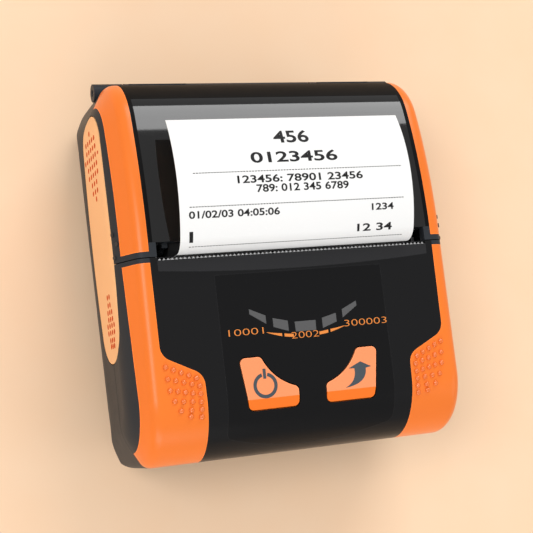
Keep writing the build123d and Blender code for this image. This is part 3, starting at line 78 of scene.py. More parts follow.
@dataclass
class Tree:
    """Short way to add and join shader nodes."""

    tree: bpy.types.NodeTree

    def add(self, kind: str, **values: object) -> bpy.types.Node:
        """Adds a node and sets its properties or, by socket name, its inputs.

        Args:
            kind: the node's type name.
            values: properties, or inputs with underscores for spaces.

        Returns:
            The new node.
        """
        node = self.tree.nodes.new(kind)
        for name, value in values.items():
            if hasattr(node, name):
                setattr(node, name, value)
            else:
                node.inputs[name.replace("_", " ")].default_value = value
        return node

    def join(self, source: Socket, target: Socket) -> None:
        """Links an output to an input."""
        self.tree.links.new(source, target)

    def give(self, value: object, target: Socket) -> None:
        """Gives an input its value.

        Args:
            value: an output to link, a colour of three, or a number.
            target: the input.
        """
        if isinstance(value, Socket):
            self.join(value, target)
        elif isinstance(value, tuple):
            target.default_value = (*value[:3], 1.0)
        else:
            target.default_value = value

    def math(self, operation: str, first: object, second: object) -> Socket:
        """A Math node on two sockets or numbers.

        Args:
            operation: the node's operation.
            first: a socket or a number.
            second: a socket or a number.

        Returns:
            The result's socket.
        """
        node = self.add("ShaderNodeMath", operation=operation)
        self.give(first, node.inputs[0])
        self.give(second, node.inputs[1])
        return node.outputs[0]

    def ramp(self, source: Socket, low: float, high: float) -> Socket:
        """Maps a value so that low gives 0 and high gives 1, clamped."""
        node = self.add("ShaderNodeMapRange", From_Min=low, From_Max=high)
        self.join(source, node.inputs["Value"])
        return node.outputs["Result"]

    def mix(self, factor: object, first: object, second: object) -> Socket:
        """Mixes two colours, each a socket or a tuple of three.

        Args:
            factor: a socket or a number.
            first: the colour at 0.
            second: the colour at 1.

        Returns:
            The mixed colour's socket.
        """
        node = self.add("ShaderNodeMix", data_type="RGBA")
        # The node keeps sockets for every kind; 0, 6, 7 and output 2 are those for colour.
        for index, value in ((0, factor), (6, first), (7, second)):
            self.give(value, node.inputs[index])
        return node.outputs[2]

    def own_place(self) -> Socket:
        """The object's own coordinates."""
        return self.add("ShaderNodeTexCoord").outputs["Object"]

    def noise(self, place: Socket, **values: object) -> bpy.types.Node:
        """A noise texture that is read at a place."""
        node = self.add("ShaderNodeTexNoise", **values)
        self.join(place, node.inputs["Vector"])
        return node

    def centred(self, noise: bpy.types.Node) -> Socket:
        """A noise's factor, moved to lie about zero."""
        return self.math("SUBTRACT", noise.outputs["Fac"], 0.5)

    def scaled(self, colour: Socket, factor: Socket) -> Socket:
        """A colour multiplied by a factor."""
        node = self.add("ShaderNodeVectorMath", operation="SCALE")
        self.join(colour, node.inputs[0])
        self.join(factor, node.inputs["Scale"])
        return node.outputs[0]


def blank_tree(owner: bpy.types.ID) -> Tree:
    """The emptied node tree of a new material or world."""
    owner.use_nodes = True
    owner.node_tree.nodes.clear()
    return Tree(owner.node_tree)


def new_group(name: str, *numbers: str) -> tuple[Tree, bpy.types.Node, bpy.types.Node]:
    """Starts a node group from a colour and numbers to colour, roughness and height.

    Args:
        name: the group's name.
        numbers: the titles of its number inputs.

    Returns:
        The tree with its input and output nodes.
    """
    group = bpy.data.node_groups.new(name, "ShaderNodeTree")
    for side, titles in (("INPUT", numbers), ("OUTPUT", ("Roughness", "Height"))):
        group.interface.new_socket("Colour", in_out=side, socket_type="NodeSocketColor")
        for title in titles:
            group.interface.new_socket(title, in_out=side, socket_type="NodeSocketFloat")
    tree = Tree(group)
    return tree, tree.add("NodeGroupInput"), tree.add("NodeGroupOutput")


def build_moulded_group() -> bpy.types.NodeTree:
    """Grain, faint flow mottle, dust, and lighter edges of a moulded piece, partly edge wear and
    partly painted highlight.

    Returns:
        The node group.
    """
    dust_tone, dust_from, dust_full = 0.05, 0.70, 0.80
    edge_from, edge_full = 0.985, 0.90
    rub_highlight_from, rub_highlight_full = 0.15, 0.6
    smear_swing = 2.0
    tree, given, out = new_group("moulded_surface", "Roughness", "Grain Scale", "Mottle", "Smear",
                                 "Rub And Highlight")
    place = tree.own_place()
    grain = tree.noise(place, Detail=2.0, Roughness=0.55)
    tree.join(given.outputs["Grain Scale"], grain.inputs["Scale"])
    flow = tree.noise(place, Scale=55.0, Detail=5.0, Roughness=0.6)
    smear = tree.noise(place, Scale=160.0, Detail=3.0, Roughness=0.65, Distortion=1.2)
    speck = tree.noise(place, Scale=900.0, Detail=1.0)
    mottle = tree.math("MULTIPLY", tree.centred(flow), given.outputs["Mottle"])
    dust = tree.math("MULTIPLY", tree.ramp(speck.outputs["Fac"], dust_from, dust_full), dust_tone)
    tone = tree.math("ADD", tree.math("ADD", mottle, dust), 1.0)
    colour = tree.scaled(given.outputs["Colour"], tone)
    # Edges are lightened in the colour: partly edge wear, partly a painted highlight where rounded
    # edges would catch the light.
    bevel = tree.add("ShaderNodeBevel", samples=4, Radius=0.4 * MM)
    bend = tree.add("ShaderNodeVectorMath", operation="DOT_PRODUCT")
    tree.join(bevel.outputs[0], bend.inputs[0])
    tree.join(tree.add("ShaderNodeNewGeometry").outputs["Normal"], bend.inputs[1])
    edge = tree.ramp(bend.outputs["Value"], edge_from, edge_full)
    rub_and_highlight = tree.math("MULTIPLY", tree.math("MULTIPLY", edge, given.outputs["Rub And Highlight"]),
                    tree.ramp(smear.outputs["Fac"], rub_highlight_from, rub_highlight_full))
    worn_and_highlit = tree.scaled(colour, tree.math("ADD", rub_and_highlight, 1.0))
    tree.join(worn_and_highlit, out.inputs["Colour"])
    rough = tree.math("MULTIPLY", tree.centred(smear), given.outputs["Smear"])
    rough = tree.math("MULTIPLY", rough, smear_swing)
    rough = tree.math("ADD", rough, given.outputs["Roughness"])
    tree.join(tree.math("MINIMUM", rough, 1.0), out.inputs["Roughness"])
    tree.join(grain.outputs["Fac"], out.inputs["Height"])
    return tree.tree


def build_drawn_group() -> bpy.types.NodeTree:
    """Fine lines along one axis and stains of rolled or drawn metal.

    Returns:
        The node group.
    """
    along_lines = 0.04
    least_tone, line_tone, stain_tone = 0.85, 0.16, 0.14
    line_rough = 0.35
    tree, given, out = new_group("drawn_metal", "Roughness", "Line Scale")
    place = tree.own_place()
    stretch = tree.add("ShaderNodeMapping", Scale=(along_lines, 1.0, 1.0))
    tree.join(place, stretch.inputs["Vector"])
    lines = tree.noise(stretch.outputs[0], Detail=3.0, Roughness=0.7)
    tree.join(given.outputs["Line Scale"], lines.inputs["Scale"])
    stain = tree.noise(place, Scale=120.0, Detail=4.0)
    tone = tree.math("ADD", tree.math("MULTIPLY", lines.outputs["Fac"], line_tone),
                     tree.math("MULTIPLY", stain.outputs["Fac"], stain_tone))
    colour = tree.scaled(given.outputs["Colour"], tree.math("ADD", tone, least_tone))
    tree.join(colour, out.inputs["Colour"])
    rough = tree.math("MULTIPLY", tree.centred(lines), line_rough)
    tree.join(tree.math("ADD", rough, given.outputs["Roughness"]), out.inputs["Roughness"])
    tree.join(lines.outputs["Fac"], out.inputs["Height"])
    return tree.tree


MOULDED = build_moulded_group()
DRAWN = build_drawn_group()


# Finishes

class Surface(Enum):
    """What a finish's grain comes from."""

    MOULDED = "moulded"
    METAL = "metal"


@dataclass(frozen=True)
class Finish:
    """A finish of the printer's own pieces; grain and soften are in millimetres."""

    name: str
    colour: Colour
    roughness: float
    surface: Surface = Surface.MOULDED
    metallic: float = 0.0
    specular: float = 0.5
    coat: float = 0.0
    coat_roughness: float = 0.04
    grain: float = 0.01
    grain_scale: float = 3500.0
    mottle: float = 0.08
    smear: float = 0.05
    # How much the edges are lightened: partly edge wear, partly painted highlight.
    rub_and_highlight: float = 0.15
    soften: float = 0.18

    def colour_source(self, tree: Tree) -> Optional[Socket]:
        """A pattern that stands in for the plain colour, where the finish has one."""
        return None

    def material(self) -> bpy.types.Material:
        """Builds the material once and gives it again when asked.

        Returns:
            The material.
        """
        known = bpy.data.materials.get(self.name)
        if known:
            return known
        material = bpy.data.materials.new(self.name)
        material.diffuse_color = (*self.colour, 1.0)
        tree = blank_tree(material)
        shader = tree.add("ShaderNodeBsdfPrincipled", Metallic=self.metallic,
                          Specular_IOR_Level=self.specular, Coat_Weight=self.coat,
                          Coat_Roughness=self.coat_roughness)
        tree.join(shader.outputs[0], tree.add("ShaderNodeOutputMaterial").inputs[0])
        values = {"Colour": self.colour_source(tree) or self.colour, "Roughness": self.roughness}
        if self.surface is Surface.MOULDED:
            group = tree.add("ShaderNodeGroup", node_tree=MOULDED)
            values.update({"Grain Scale": self.grain_scale, "Mottle": self.mottle,
                           "Smear": self.smear, "Rub And Highlight": self.rub_and_highlight})
        else:
            group = tree.add("ShaderNodeGroup", node_tree=DRAWN)
            values["Line Scale"] = self.grain_scale
        for title, value in values.items():
            tree.give(value, group.inputs[title])
        tree.join(group.outputs["Colour"], shader.inputs["Base Color"])
        tree.join(group.outputs["Roughness"], shader.inputs["Roughness"])
        bump = tree.add("ShaderNodeBump", Strength=1.0, Distance=self.grain * MM)
        tree.join(group.outputs["Height"], bump.inputs["Height"])
        bevel = tree.add("ShaderNodeBevel", samples=4, Radius=self.soften * MM)
        tree.join(bevel.outputs[0], bump.inputs["Normal"])
        tree.join(bump.outputs[0], shader.inputs["Normal"])
        return material


@dataclass(frozen=True)
class WoundPaper(Finish):
    """Paper whose turns show as fine rings on the roll's ends, with painted shade in the gaps
    between turns.
    """

    axis_y: float = 32.5 * MM
    axis_z: float = 27.8 * MM
    turn: float = 0.35 * MM
    gap_shade: float = 0.82

    def colour_source(self, tree: Tree) -> Socket:
        """Rings about the roll's axis, darker between turns as painted shade."""
        place = tree.add("ShaderNodeMapping", Location=(0.0, -self.axis_y, -self.axis_z))
        tree.join(tree.own_place(), place.inputs["Vector"])
        flat = tree.add("ShaderNodeVectorMath", operation="MULTIPLY")
        flat.inputs[1].default_value = (0.0, 1.0, 1.0)
        tree.join(place.outputs[0], flat.inputs[0])
        reach = tree.add("ShaderNodeVectorMath", operation="LENGTH")
        tree.join(flat.outputs[0], reach.inputs[0])
        turns = tree.math("MULTIPLY", reach.outputs["Value"], 2 * math.pi / self.turn)
        wave = tree.math("SINE", turns, 0.0)
        return tree.mix(tree.ramp(wave, -1.0, 1.0), shade(self.colour, self.gap_shade), self.colour)


@dataclass(frozen=True)
class KeySilicone(Finish):
    """Silicone painted salmon on its upper facet as painted light, and a deeper orange on its
    falling lower facet as painted shade.
    """

    # The lower facet's deeper orange is painted shade.
    facet: Colour = srgb("FF7A22")
    crease_y: float = -46.2 * MM
    crease_half: float = 0.05 * MM

    def colour_source(self, tree: Tree) -> Socket:
        """Painted shade: a deeper colour beyond the crease."""
        place = tree.add("ShaderNodeSeparateXYZ")
        tree.join(tree.own_place(), place.inputs[0])
        below = tree.ramp(place.outputs["Y"], self.crease_y + self.crease_half,
                          self.crease_y - self.crease_half)
        return tree.mix(below, self.colour, self.facet)


@dataclass(frozen=True)
class CircuitBoard(Finish):
    """Solder mask over traces, with a faint grid of copper under it."""

    trace_scale: float = 260.0
    trace_width: float = 0.035
    field_shade: float = 0.85
    trace_shade: float = 1.7

    def colour_source(self, tree: Tree) -> Socket:
        """Brick lines read as traces, lighter than the mask."""
        bricks = tree.add("ShaderNodeTexBrick", Scale=self.trace_scale,
                          Mortar_Size=self.trace_width)
        for title, factor in (("Color1", 1.0), ("Color2", self.field_shade),
                              ("Mortar", self.trace_shade)):
            tree.give(shade(self.colour, factor), bricks.inputs[title])
        tree.join(tree.own_place(), bricks.inputs["Vector"])
        return bricks.outputs["Color"]


BLACK_GLOSS = Finish("panel_gloss", srgb("1F1F20"), 0.24, specular=0.06, grain=0.002,
                     mottle=0.05, smear=0.04, rub_and_highlight=0.9)
BLACK_FILM = Finish("overlay_film", srgb("19191A"), 0.25, specular=0.07, grain=0.002,
                    mottle=0.04, smear=0.03, rub_and_highlight=0.4)
LID_GLOSS = Finish("lid_gloss", srgb("0E0E0F"), 0.05, specular=0.4, coat=0.45, grain=0.0,
                   mottle=0.04, smear=0.012, rub_and_highlight=0.3)
# Matte black for the sheets over the lid's edges: painted shade.
RIM = Finish("lid_shade_rim", srgb("0A0A0B"), 0.6, specular=0.1, grain=0.004)
CHARCOAL = Finish("moulded_charcoal", srgb("34373B"), 0.4, specular=0.08, grain=0.012,
                  grain_scale=5200.0)
CRESCENT = Finish("crescent_satin", srgb("262628"), 0.33, specular=0.3, grain=0.006)
TRIM = Finish("satin_orange", srgb("F87E2C"), 0.3, specular=0.3, grain=0.003, mottle=0.05,
              smear=0.04, rub_and_highlight=1.0)
# The domes take a darker copy of the trim's orange, as painted shade.
DOME = Finish("dome_trim", srgb("EF7428"), 0.16, specular=0.8, grain=0.002, mottle=0.05,
              smear=0.03, rub_and_highlight=0.0)
INSET = Finish("pale_inset", srgb("FFC68E"), 0.45, specular=0.2, grain=0.006, mottle=0.06,
               rub_and_highlight=0.5)
# The dimples' deeper orange is painted shade in the hollows.
DIMPLE_SHADE = Finish("inset_dimple_shade", srgb("CF4C12"), 0.5, specular=0.2, grain=0.004)
# The salmon is the keys' orange painted lighter on the upper facet, as painted light.
KEY = KeySilicone("key_silicone", srgb("FF9A66"), 0.46, specular=0.25, grain=0.006, mottle=0.05,
                  rub_and_highlight=0.9)
GLYPH = Finish("key_glyph", srgb("434C53"), 0.55, grain=0.002, rub_and_highlight=0.0)
LEGEND = Finish("orange_legend", srgb("EC8C3A"), 0.45, grain=0.002, rub_and_highlight=0.0)
WINDOW = Finish("status_window", srgb("545455"), 0.5, grain=0.004, rub_and_highlight=0.0)
STEEL = Finish("rolled_steel", (0.55, 0.55, 0.56), 0.34, Surface.METAL, metallic=1.0, grain=0.002)
BLADE = Finish("ground_steel", (0.66, 0.66, 0.67), 0.24, Surface.METAL, metallic=1.0, grain=0.002)
TEAR_EDGE = Finish("bright_teeth", (0.86, 0.86, 0.87), 0.35, Surface.METAL, metallic=0.4,
                   grain=0.002)
ALUMINIUM = Finish("cast_aluminium", (0.74, 0.74, 0.75), 0.4, Surface.METAL, metallic=1.0,
                   grain=0.004)
BRASS = Finish("plated_brass", (0.78, 0.56, 0.25), 0.3, Surface.METAL, metallic=1.0, grain=0.001)
CERAMIC = Finish("head_ceramic", (0.80, 0.79, 0.75), 0.35, grain=0.002)
RUBBER = Finish("ground_rubber", (0.02, 0.02, 0.021), 0.62, grain_scale=7000.0)
DARK = Finish("inner_plastic", srgb("2B2B2D"), 0.5, grain=0.014, grain_scale=5200.0)
NYLON = Finish("gear_nylon", (0.74, 0.73, 0.68), 0.42, grain=0.004)
ACETAL = Finish("black_acetal", srgb("141415"), 0.4, specular=0.3, grain=0.004)
PAPER = Finish("thermal_paper", (0.93, 0.93, 0.92), 0.62, specular=0.25, grain=0.004,
               grain_scale=9000.0, mottle=0.03, rub_and_highlight=0.0, soften=0.05)
ROLL = WoundPaper("wound_paper", (0.88, 0.88, 0.86), 0.75, grain=0.004, rub_and_highlight=0.0)
CARD = Finish("card_tube", (0.42, 0.29, 0.17), 0.85, grain=0.02, grain_scale=2500.0, rub_and_highlight=0.0)
INK = Finish("print_ink", srgb("171719"), 0.6, specular=0.3, grain=0.0, rub_and_highlight=0.0, soften=0.01)
BOARD = CircuitBoard("board_mask", (0.015, 0.12, 0.05), 0.25, coat=0.3, grain=0.002)
CHIP = Finish("chip_package", (0.018, 0.018, 0.019), 0.55)
SLEEVE = Finish("cell_sleeve", (0.03, 0.12, 0.34), 0.25, coat=0.4, grain=0.002)
FLAP = Finish("flap_rubber", srgb("2E2E30"), 0.62)

NODE_FINISHES: dict[str, Finish] = {name: look for look, names in (
    (CHARCOAL, "bottom_case front_housing cover_frame"),
    (BLACK_GLOSS, "control_panel"),
    (BLACK_FILM, "panel_overlay"),
    (CRESCENT, "slot_bezel"),
    (TEAR_EDGE, "tear_bar"),
    (TRIM, "lower_strip_left lower_strip_right cover_strip_left cover_strip_right"),
    (INSET, "side_inset_left side_inset_right"),
    (WINDOW, "status_windows"),
    (LID_GLOSS, "cover_lid"),
    (DARK, "cover_grip_studs paper_bay paper_sensor battery_pack battery_latch"),
    (KEY, "power_key feed_key"),
    (BLADE, "hinge_pin platen_shaft head_springs board_screws case_screws bay_screws"),
    (ROLL, "paper_roll"),
    (CARD, "roll_core"),
    (PAPER, "paper_web receipt_strip"),
    (RUBBER, "platen_rubber"),
    (ACETAL, "platen_gear platen_bushings"),
    (STEEL, "mechanism_frame stepper_motor"),
    (CERAMIC, "print_head"),
    (ALUMINIUM, "head_carrier"),
    (BRASS, "motor_pinion battery_contacts"),
    (NYLON, "idler_gear_a idler_gear_b"),
    (BOARD, "main_board port_board"),
    (CHIP, "board_chips key_switches port_socket"),
    (FLAP, "port_cover"),
    (SLEEVE, "battery_cells"),
) for name in names.split()}


def dress_nodes() -> None:
    """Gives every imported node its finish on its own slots."""
    for name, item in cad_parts.items():
        material = NODE_FINISHES[name].material()
        if not len(item.material_slots):
            item.data.materials.append(material)
        for slot in item.material_slots:
            slot.material = material
        LOG.info("dressed %s in %s", name, material.name)


# Modelling by hand

def deselect() -> None:
    """Leaves nothing selected and no edit mode open."""
    if bpy.context.object and bpy.context.object.mode != "OBJECT":
        bpy.ops.object.mode_set(mode="OBJECT")
    bpy.ops.object.select_all(action="DESELECT")


def choose(item: bpy.types.Object) -> None:
    """Selects one object alone and makes it active."""
    deselect()
    item.select_set(True)
    bpy.context.view_layer.objects.active = item


@contextmanager
def editing(item: bpy.types.Object) -> Iterator[None]:
    """Opens edit mode with the object's whole mesh selected, and closes it afterwards."""
    choose(item)
    bpy.ops.object.mode_set(mode="EDIT")
    bpy.ops.mesh.select_all(action="SELECT")
    yield
    bpy.ops.object.mode_set(mode="OBJECT")


def apply_place(item: bpy.types.Object) -> None:
    """Moves the object's place, turn and scale into its mesh."""
    choose(item)
    bpy.ops.object.transform_apply(location=True, rotation=True, scale=True)


def finish_piece(item: bpy.types.Object, name: str, look: Finish, body: str) -> None:
    """Names, dresses and hangs a piece on its body.

    Args:
        item: the finished mesh object, at the origin.
        name: the piece's name.
        look: its finish.
        body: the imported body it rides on.
    """
    item.name = name
    item.data.name = name
    if not item.data.materials:
        item.data.materials.append(look.material())
    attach(item, body)
    LOG.info("piece %s rides on %s", name, body)


def select_vertices(item: bpy.types.Object, test: Callable[[Vector], bool]) -> None:
    """Selects the vertices that pass a test on their place; edit mode is left open.

    Args:
        item: the active mesh object.
        test: says of a place whether it is chosen.
    """
    bpy.ops.object.mode_set(mode="EDIT")
    bpy.ops.mesh.select_mode(type="VERT")
    bpy.ops.mesh.select_all(action="DESELECT")
    bpy.ops.object.mode_set(mode="OBJECT")
    for vertex in item.data.vertices:
        vertex.select = test(vertex.co)
    bpy.ops.object.mode_set(mode="EDIT")


def spin_edge(item: bpy.types.Object, test: Callable[[Vector], bool],
              bends: Sequence[tuple[int, float, Point]]) -> None:
    """Spins one edge of a flat mesh through bends in turn, and welds the mesh.

    Args:
        item: the active mesh object.
        test: says of a place whether it is on the edge.
        bends: steps, angle and centre, along and up, of each bend.
    """
    select_vertices(item, test)
    for steps, angle, centre in bends:
        bpy.ops.mesh.spin(steps=steps, angle=angle, center=(0, *centre), axis=(1, 0, 0))
    with editing(item):
        bpy.ops.mesh.remove_doubles(threshold=WELD)


def flat_text(text: str, width: float, height: float, bold: float = 0.02) -> bpy.types.Object:
    """Plain figures as a flat mesh that fills a width and a height about the origin.

    Args:
        text: the figures.
        width: their whole width in metres.
        height: their height in metres.
        bold: how far the outlines swell, as a share of the type size.

    Returns:
        The mesh object.
    """
    deselect()
    bpy.ops.object.text_add()
    item = bpy.context.object
    item.data.body = text
    item.data.resolution_u = 4
    item.data.offset = bold
    bpy.ops.object.convert(target="MESH")
    item = bpy.context.object
    for axis, size in enumerate((width, height)):
        values = [vertex.co[axis] for vertex in item.data.vertices]
        low, high = min(values), max(values)
        for vertex in item.data.vertices:
            vertex.co[axis] = ((vertex.co[axis] - low) / (high - low) - 0.5) * size
    return item


def cut_across(item: bpy.types.Object, step: float) -> None:
    """Cuts a flat mesh across at even heights, so that it can bend.

    Args:
        item: the flat mesh about the origin.
        step: the distance between cuts, in metres.
    """
    reach = max(abs(vertex.co.y) for vertex in item.data.vertices)
    count = int(reach / step)
    with editing(item):
        for k in range(-count, count + 1):
            bpy.ops.mesh.select_all(action="SELECT")
            bpy.ops.mesh.bisect(plane_co=(0, k * step, 0), plane_no=(0, 1, 0))


def flat_plate(length: float, height: float, middle: Sequence[float] = (0.0, 0.0, 0.0),
               lean: float = 0.0) -> bpy.types.Object:
    """A flat plate with its sides across and, unless it leans, along.

    Args:
        length: its length across, in metres.
        height: its other side, in metres.
        middle: where its middle lies.
        lean: its turn about the cross axis.

    Returns:
        The mesh object.
    """
    deselect()
    bpy.ops.mesh.primitive_plane_add(size=1.0, location=middle, rotation=(lean, 0, 0))
    item = bpy.context.object
    item.scale = (length, height, 1.0)
    apply_place(item)
    return item


def place_all(item: bpy.types.Object, rule: Callable[[Vector], Vector]) -> None:
    """Puts each vertex where a rule says."""
    for vertex in item.data.vertices:
        vertex.co = rule(vertex.co)


def face_towards(item: bpy.types.Object, way: Vector) -> None:
    """Turns every face of an open mesh to the side that a direction points to."""
    for polygon in item.data.polygons:
        if polygon.normal.dot(way) < 0:
            polygon.flip()
    item.data.update()


def fuse(items: Sequence[bpy.types.Object]) -> bpy.types.Object:
    """Joins mesh objects into the first one.

    Args:
        items: the objects.

    Returns:
        The joined object.
    """
    deselect()
    for item in items:
        item.select_set(True)
    bpy.context.view_layer.objects.active = items[0]
    bpy.ops.object.join()
    return bpy.context.object


def copy_at(item: bpy.types.Object, place: Matrix) -> bpy.types.Object:
    """A copy with its own mesh, moved by a matrix.

    Args:
        item: the object to copy.
        place: the move.

    Returns:
        The copy, at the origin.
    """
    copy = item.copy()
    copy.data = item.data.copy()
    copy.data.transform(place)
    bpy.context.collection.objects.link(copy)
    return copy


def thicken(item: bpy.types.Object, depth: float, offset: float) -> None:
    """Gives a flat mesh a real thickness: behind its faces at offset -1, or half each at 0."""
    choose(item)
    solid = item.modifiers.new("thickness", "SOLIDIFY")
    solid.thickness = depth
    solid.offset = offset
    bpy.ops.object.modifier_apply(modifier=solid.name)


def smooth(degrees: float) -> None:
    """Shades the chosen object smooth, but for edges that bend more than an angle."""
    bpy.ops.object.shade_smooth_by_angle(angle=math.radians(degrees))


# The printed strip

@dataclass
class ReceiptStrip:
    """The strip of paper that curls out of the slot, with its print.

    A row gives its figures, its place up the strip, its left and right ends and its
    height; a rule gives its place and its ends. All are in millimetres. Up to fine_reach
    times the tight curl's length, figures are cut finely so that they bend with it.
    """

    width: float = 79.5 * MM
    thick: float = 0.12 * MM
    web_y: float = 0.4 * MM
    foot_z: float = 52.75 * MM
    bend_z: float = 57.6 * MM
    curl_r: float = 6.2 * MM
    curl_turn: float = math.radians(69.0)
    curl_steps: int = 24
    sheet_r: float = 44.6 * MM
    sheet_turn: float = math.radians(50.4)
    sheet_steps: int = 40
    ink_lift: float = 0.045 * MM
    rows: tuple = (
        ("456", 39.0, -6.0, 6.0, 4.6), ("0123456", 31.9, -15.0, 14.5, 3.7),
        ("123456: 78901 23456", 24.9, -20.4, 22.3, 2.5),
        ("789: 012 345 6789", 21.9, -14.4, 17.0, 2.5),
        ("01/02/03 04:05:06", 14.6, -36.9, -7.2, 2.3), ("1234", 14.4, 24.6, 32.4, 2.2),
        ("1", 7.8, -36.9, -35.7, 3.4), ("12 34", 7.9, 19.4, 31.8, 2.5))
    rules: tuple = ((27.4, -34.6, 36.8), (17.0, -36.7, 36.4), (4.6, -37.0, 36.0))
    fine_reach: float = 1.5
    fine_cut: float = 0.35 * MM
    wide_cut: float = 0.9 * MM
    dash: float = 0.66 * MM
    dash_gap: float = 0.3 * MM
    dash_tall: float = 0.24 * MM

    @property
    def curl_length(self) -> float:
        """Length of the tight curl out of the slot."""
        return self.curl_r * self.curl_turn

    @property
    def curl_end(self) -> float:
        """Angle at which the tight curl passes into the wide one."""
        return math.pi - self.curl_turn

    @property
    def curl_centre(self) -> Point:
        """Centre of the tight curl, along and up."""
        return self.web_y + self.curl_r, self.bend_z

    @property
    def sheet_centre(self) -> Point:
        """Centre of the wide curl, along and up."""
        shift = self.curl_r - self.sheet_r
        along, up = self.curl_centre
        return along + shift * math.cos(self.curl_end), up + shift * math.sin(self.curl_end)

    def spot(self, across: float, along: float, lift: float) -> Vector:
        """A place on the strip's printed side.

        Args:
            across: distance from the middle, to the right.
            along: distance up the strip from where it starts to curl.
            lift: height above the middle of the paper.

        Returns:
            The point in the frame.
        """
        if along <= 0:
            return Vector((across, self.web_y - lift, self.bend_z + along))
        if along < self.curl_length:
            turn, radius, middle = math.pi - along / self.curl_r, self.curl_r, self.curl_centre
        else:
            turn = self.curl_end - (along - self.curl_length) / self.sheet_r
            radius, middle = self.sheet_r, self.sheet_centre
        return Vector((across, middle[0] + (radius + lift) * math.cos(turn),
                       middle[1] + (radius + lift) * math.sin(turn)))

    def build_sheet(self) -> bpy.types.Object:
        """Spins one edge of paper through its two bends and gives it its thickness.

        Returns:
            The sheet.
        """
        tall = self.bend_z - self.foot_z
        sheet = flat_plate(self.width, tall, (0, self.web_y, self.foot_z + tall / 2), math.pi / 2)
        near_top = self.bend_z - 0.01 * MM
        spin_edge(sheet, lambda co: co.z > near_top,
                  ((self.curl_steps, self.curl_turn, self.curl_centre),
                   (self.sheet_steps, self.sheet_turn, self.sheet_centre)))
        with editing(sheet):
            bpy.ops.mesh.normals_make_consistent(inside=False)
        thicken(sheet, self.thick, 0.0)
        smooth(30)
        return sheet

    def build_print(self) -> bpy.types.Object:
        """Rows of plain figures and dashed rules, laid on the curved paper.

        Returns:
            All the ink as one piece.
        """
        lift = self.thick / 2 + self.ink_lift
        marks = []
        for text, along, left, right, height in self.rows:
            mark = flat_text(text, (right - left) * MM, height * MM)
            near_curl = along * MM < self.fine_reach * self.curl_length
            cut_across(mark, self.fine_cut if near_curl else self.wide_cut)
            x = (left + right) / 2 * MM
            place_all(mark, lambda co: self.spot(co.x + x, co.y + along * MM, lift))
            marks.append(mark)
        pitch = self.dash + self.dash_gap
        for along, left, right in self.rules:
            for k in range(int((right - left) * MM / pitch)):
                bar = flat_plate(self.dash, self.dash_tall)
                x = left * MM + (k + 0.5) * pitch
                place_all(bar, lambda co: self.spot(co.x + x, co.y + along * MM, lift))
                marks.append(bar)
        return fuse(marks)

    def build(self) -> None:
        """Makes the strip and its print, and puts them on the cover."""
        sheet = self.build_sheet()
        finish_piece(sheet, "curled_receipt", PAPER, "cover")
        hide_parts("receipt_strip")
        finish_piece(self.build_print(), "receipt_print", INK, "cover")


# The cover's edges

@dataclass
class LidShadeRims:
    """Dull black sheets laid along both sides of the glossy lid and over its rear edge, as painted
    shade.

    The lid's section is a wide crown and a quicker rear bend that leaves it smoothly.
    """

    inner: float = 47.1 * MM
    outer: float = 48.4 * MM
    start_y: float = 5.0 * MM
    lift: float = 0.04 * MM
    thick: float = 0.03 * MM
    seed: float = 0.2 * MM
    crown_y: float = 3.75 * MM
    crown_z: float = -110.0 * MM
    crown_r: float = 168.0 * MM
    crown_steps: int = 12
    rear_y: float = 40.75 * MM
    rear_r: float = 20.0 * MM
    rear_turn: float = math.radians(72.0)
    rear_skip: float = math.radians(21.0)
    rear_steps: int = 20
    behind_steps: int = 16

    def sweep(self, left: float, right: float, start: Point,
              bends: Sequence[tuple[int, float, Point]]) -> bpy.types.Object:
        """Spins a short edge that lies across the lid.

        Args:
            left: the edge's left end.
            right: its right end.
            start: where it starts, along and up.
            bends: steps, angle and centre of each bend.

        Returns:
            The rim.
        """
        half = self.seed / 2
        rim = flat_plate(right - left, self.seed, ((left + right) / 2, start[0] - half, start[1]))
        spin_edge(rim, lambda co: co.y > start[0] - half, bends)
        return rim

    def build(self) -> None:
        """Makes the right rim, its mirror image and the rear rim."""
        first = math.asin((self.start_y - self.crown_y) / self.crown_r)
        whole = math.asin((self.rear_y - self.crown_y) / (self.crown_r - self.rear_r))
        crown = (self.crown_y, self.crown_z)
        rear = (self.rear_y, self.crown_z + (self.crown_r - self.rear_r) * math.cos(whole))
        reach = self.crown_r + self.lift
        start = (crown[0] + reach * math.sin(first), crown[1] + reach * math.cos(first))
        right = self.sweep(self.inner, self.outer, start,
                           ((self.crown_steps, whole - first, crown),
                            (self.rear_steps, self.rear_turn, rear)))
        left = copy_at(right, Matrix.Scale(-1, 4, Vector((1, 0, 0))))
        reach, turn = self.rear_r + self.lift, whole + self.rear_skip
        start = (rear[0] + reach * math.sin(turn), rear[1] + reach * math.cos(turn))
        behind = self.sweep(-self.inner, self.inner, start,
                            ((self.behind_steps, self.rear_turn - self.rear_skip, rear),))
        # Each sheet is painted shade laid over the lid.
        for item, name in ((right, "right"), (left, "left"), (behind, "rear")):
            face_towards(item, Vector((0, 1, 1)))
            thicken(item, self.thick, -1.0)
            smooth(30)
            finish_piece(item, f"lid_shade_rim_{name}", RIM, "cover")


# Panel and key markings

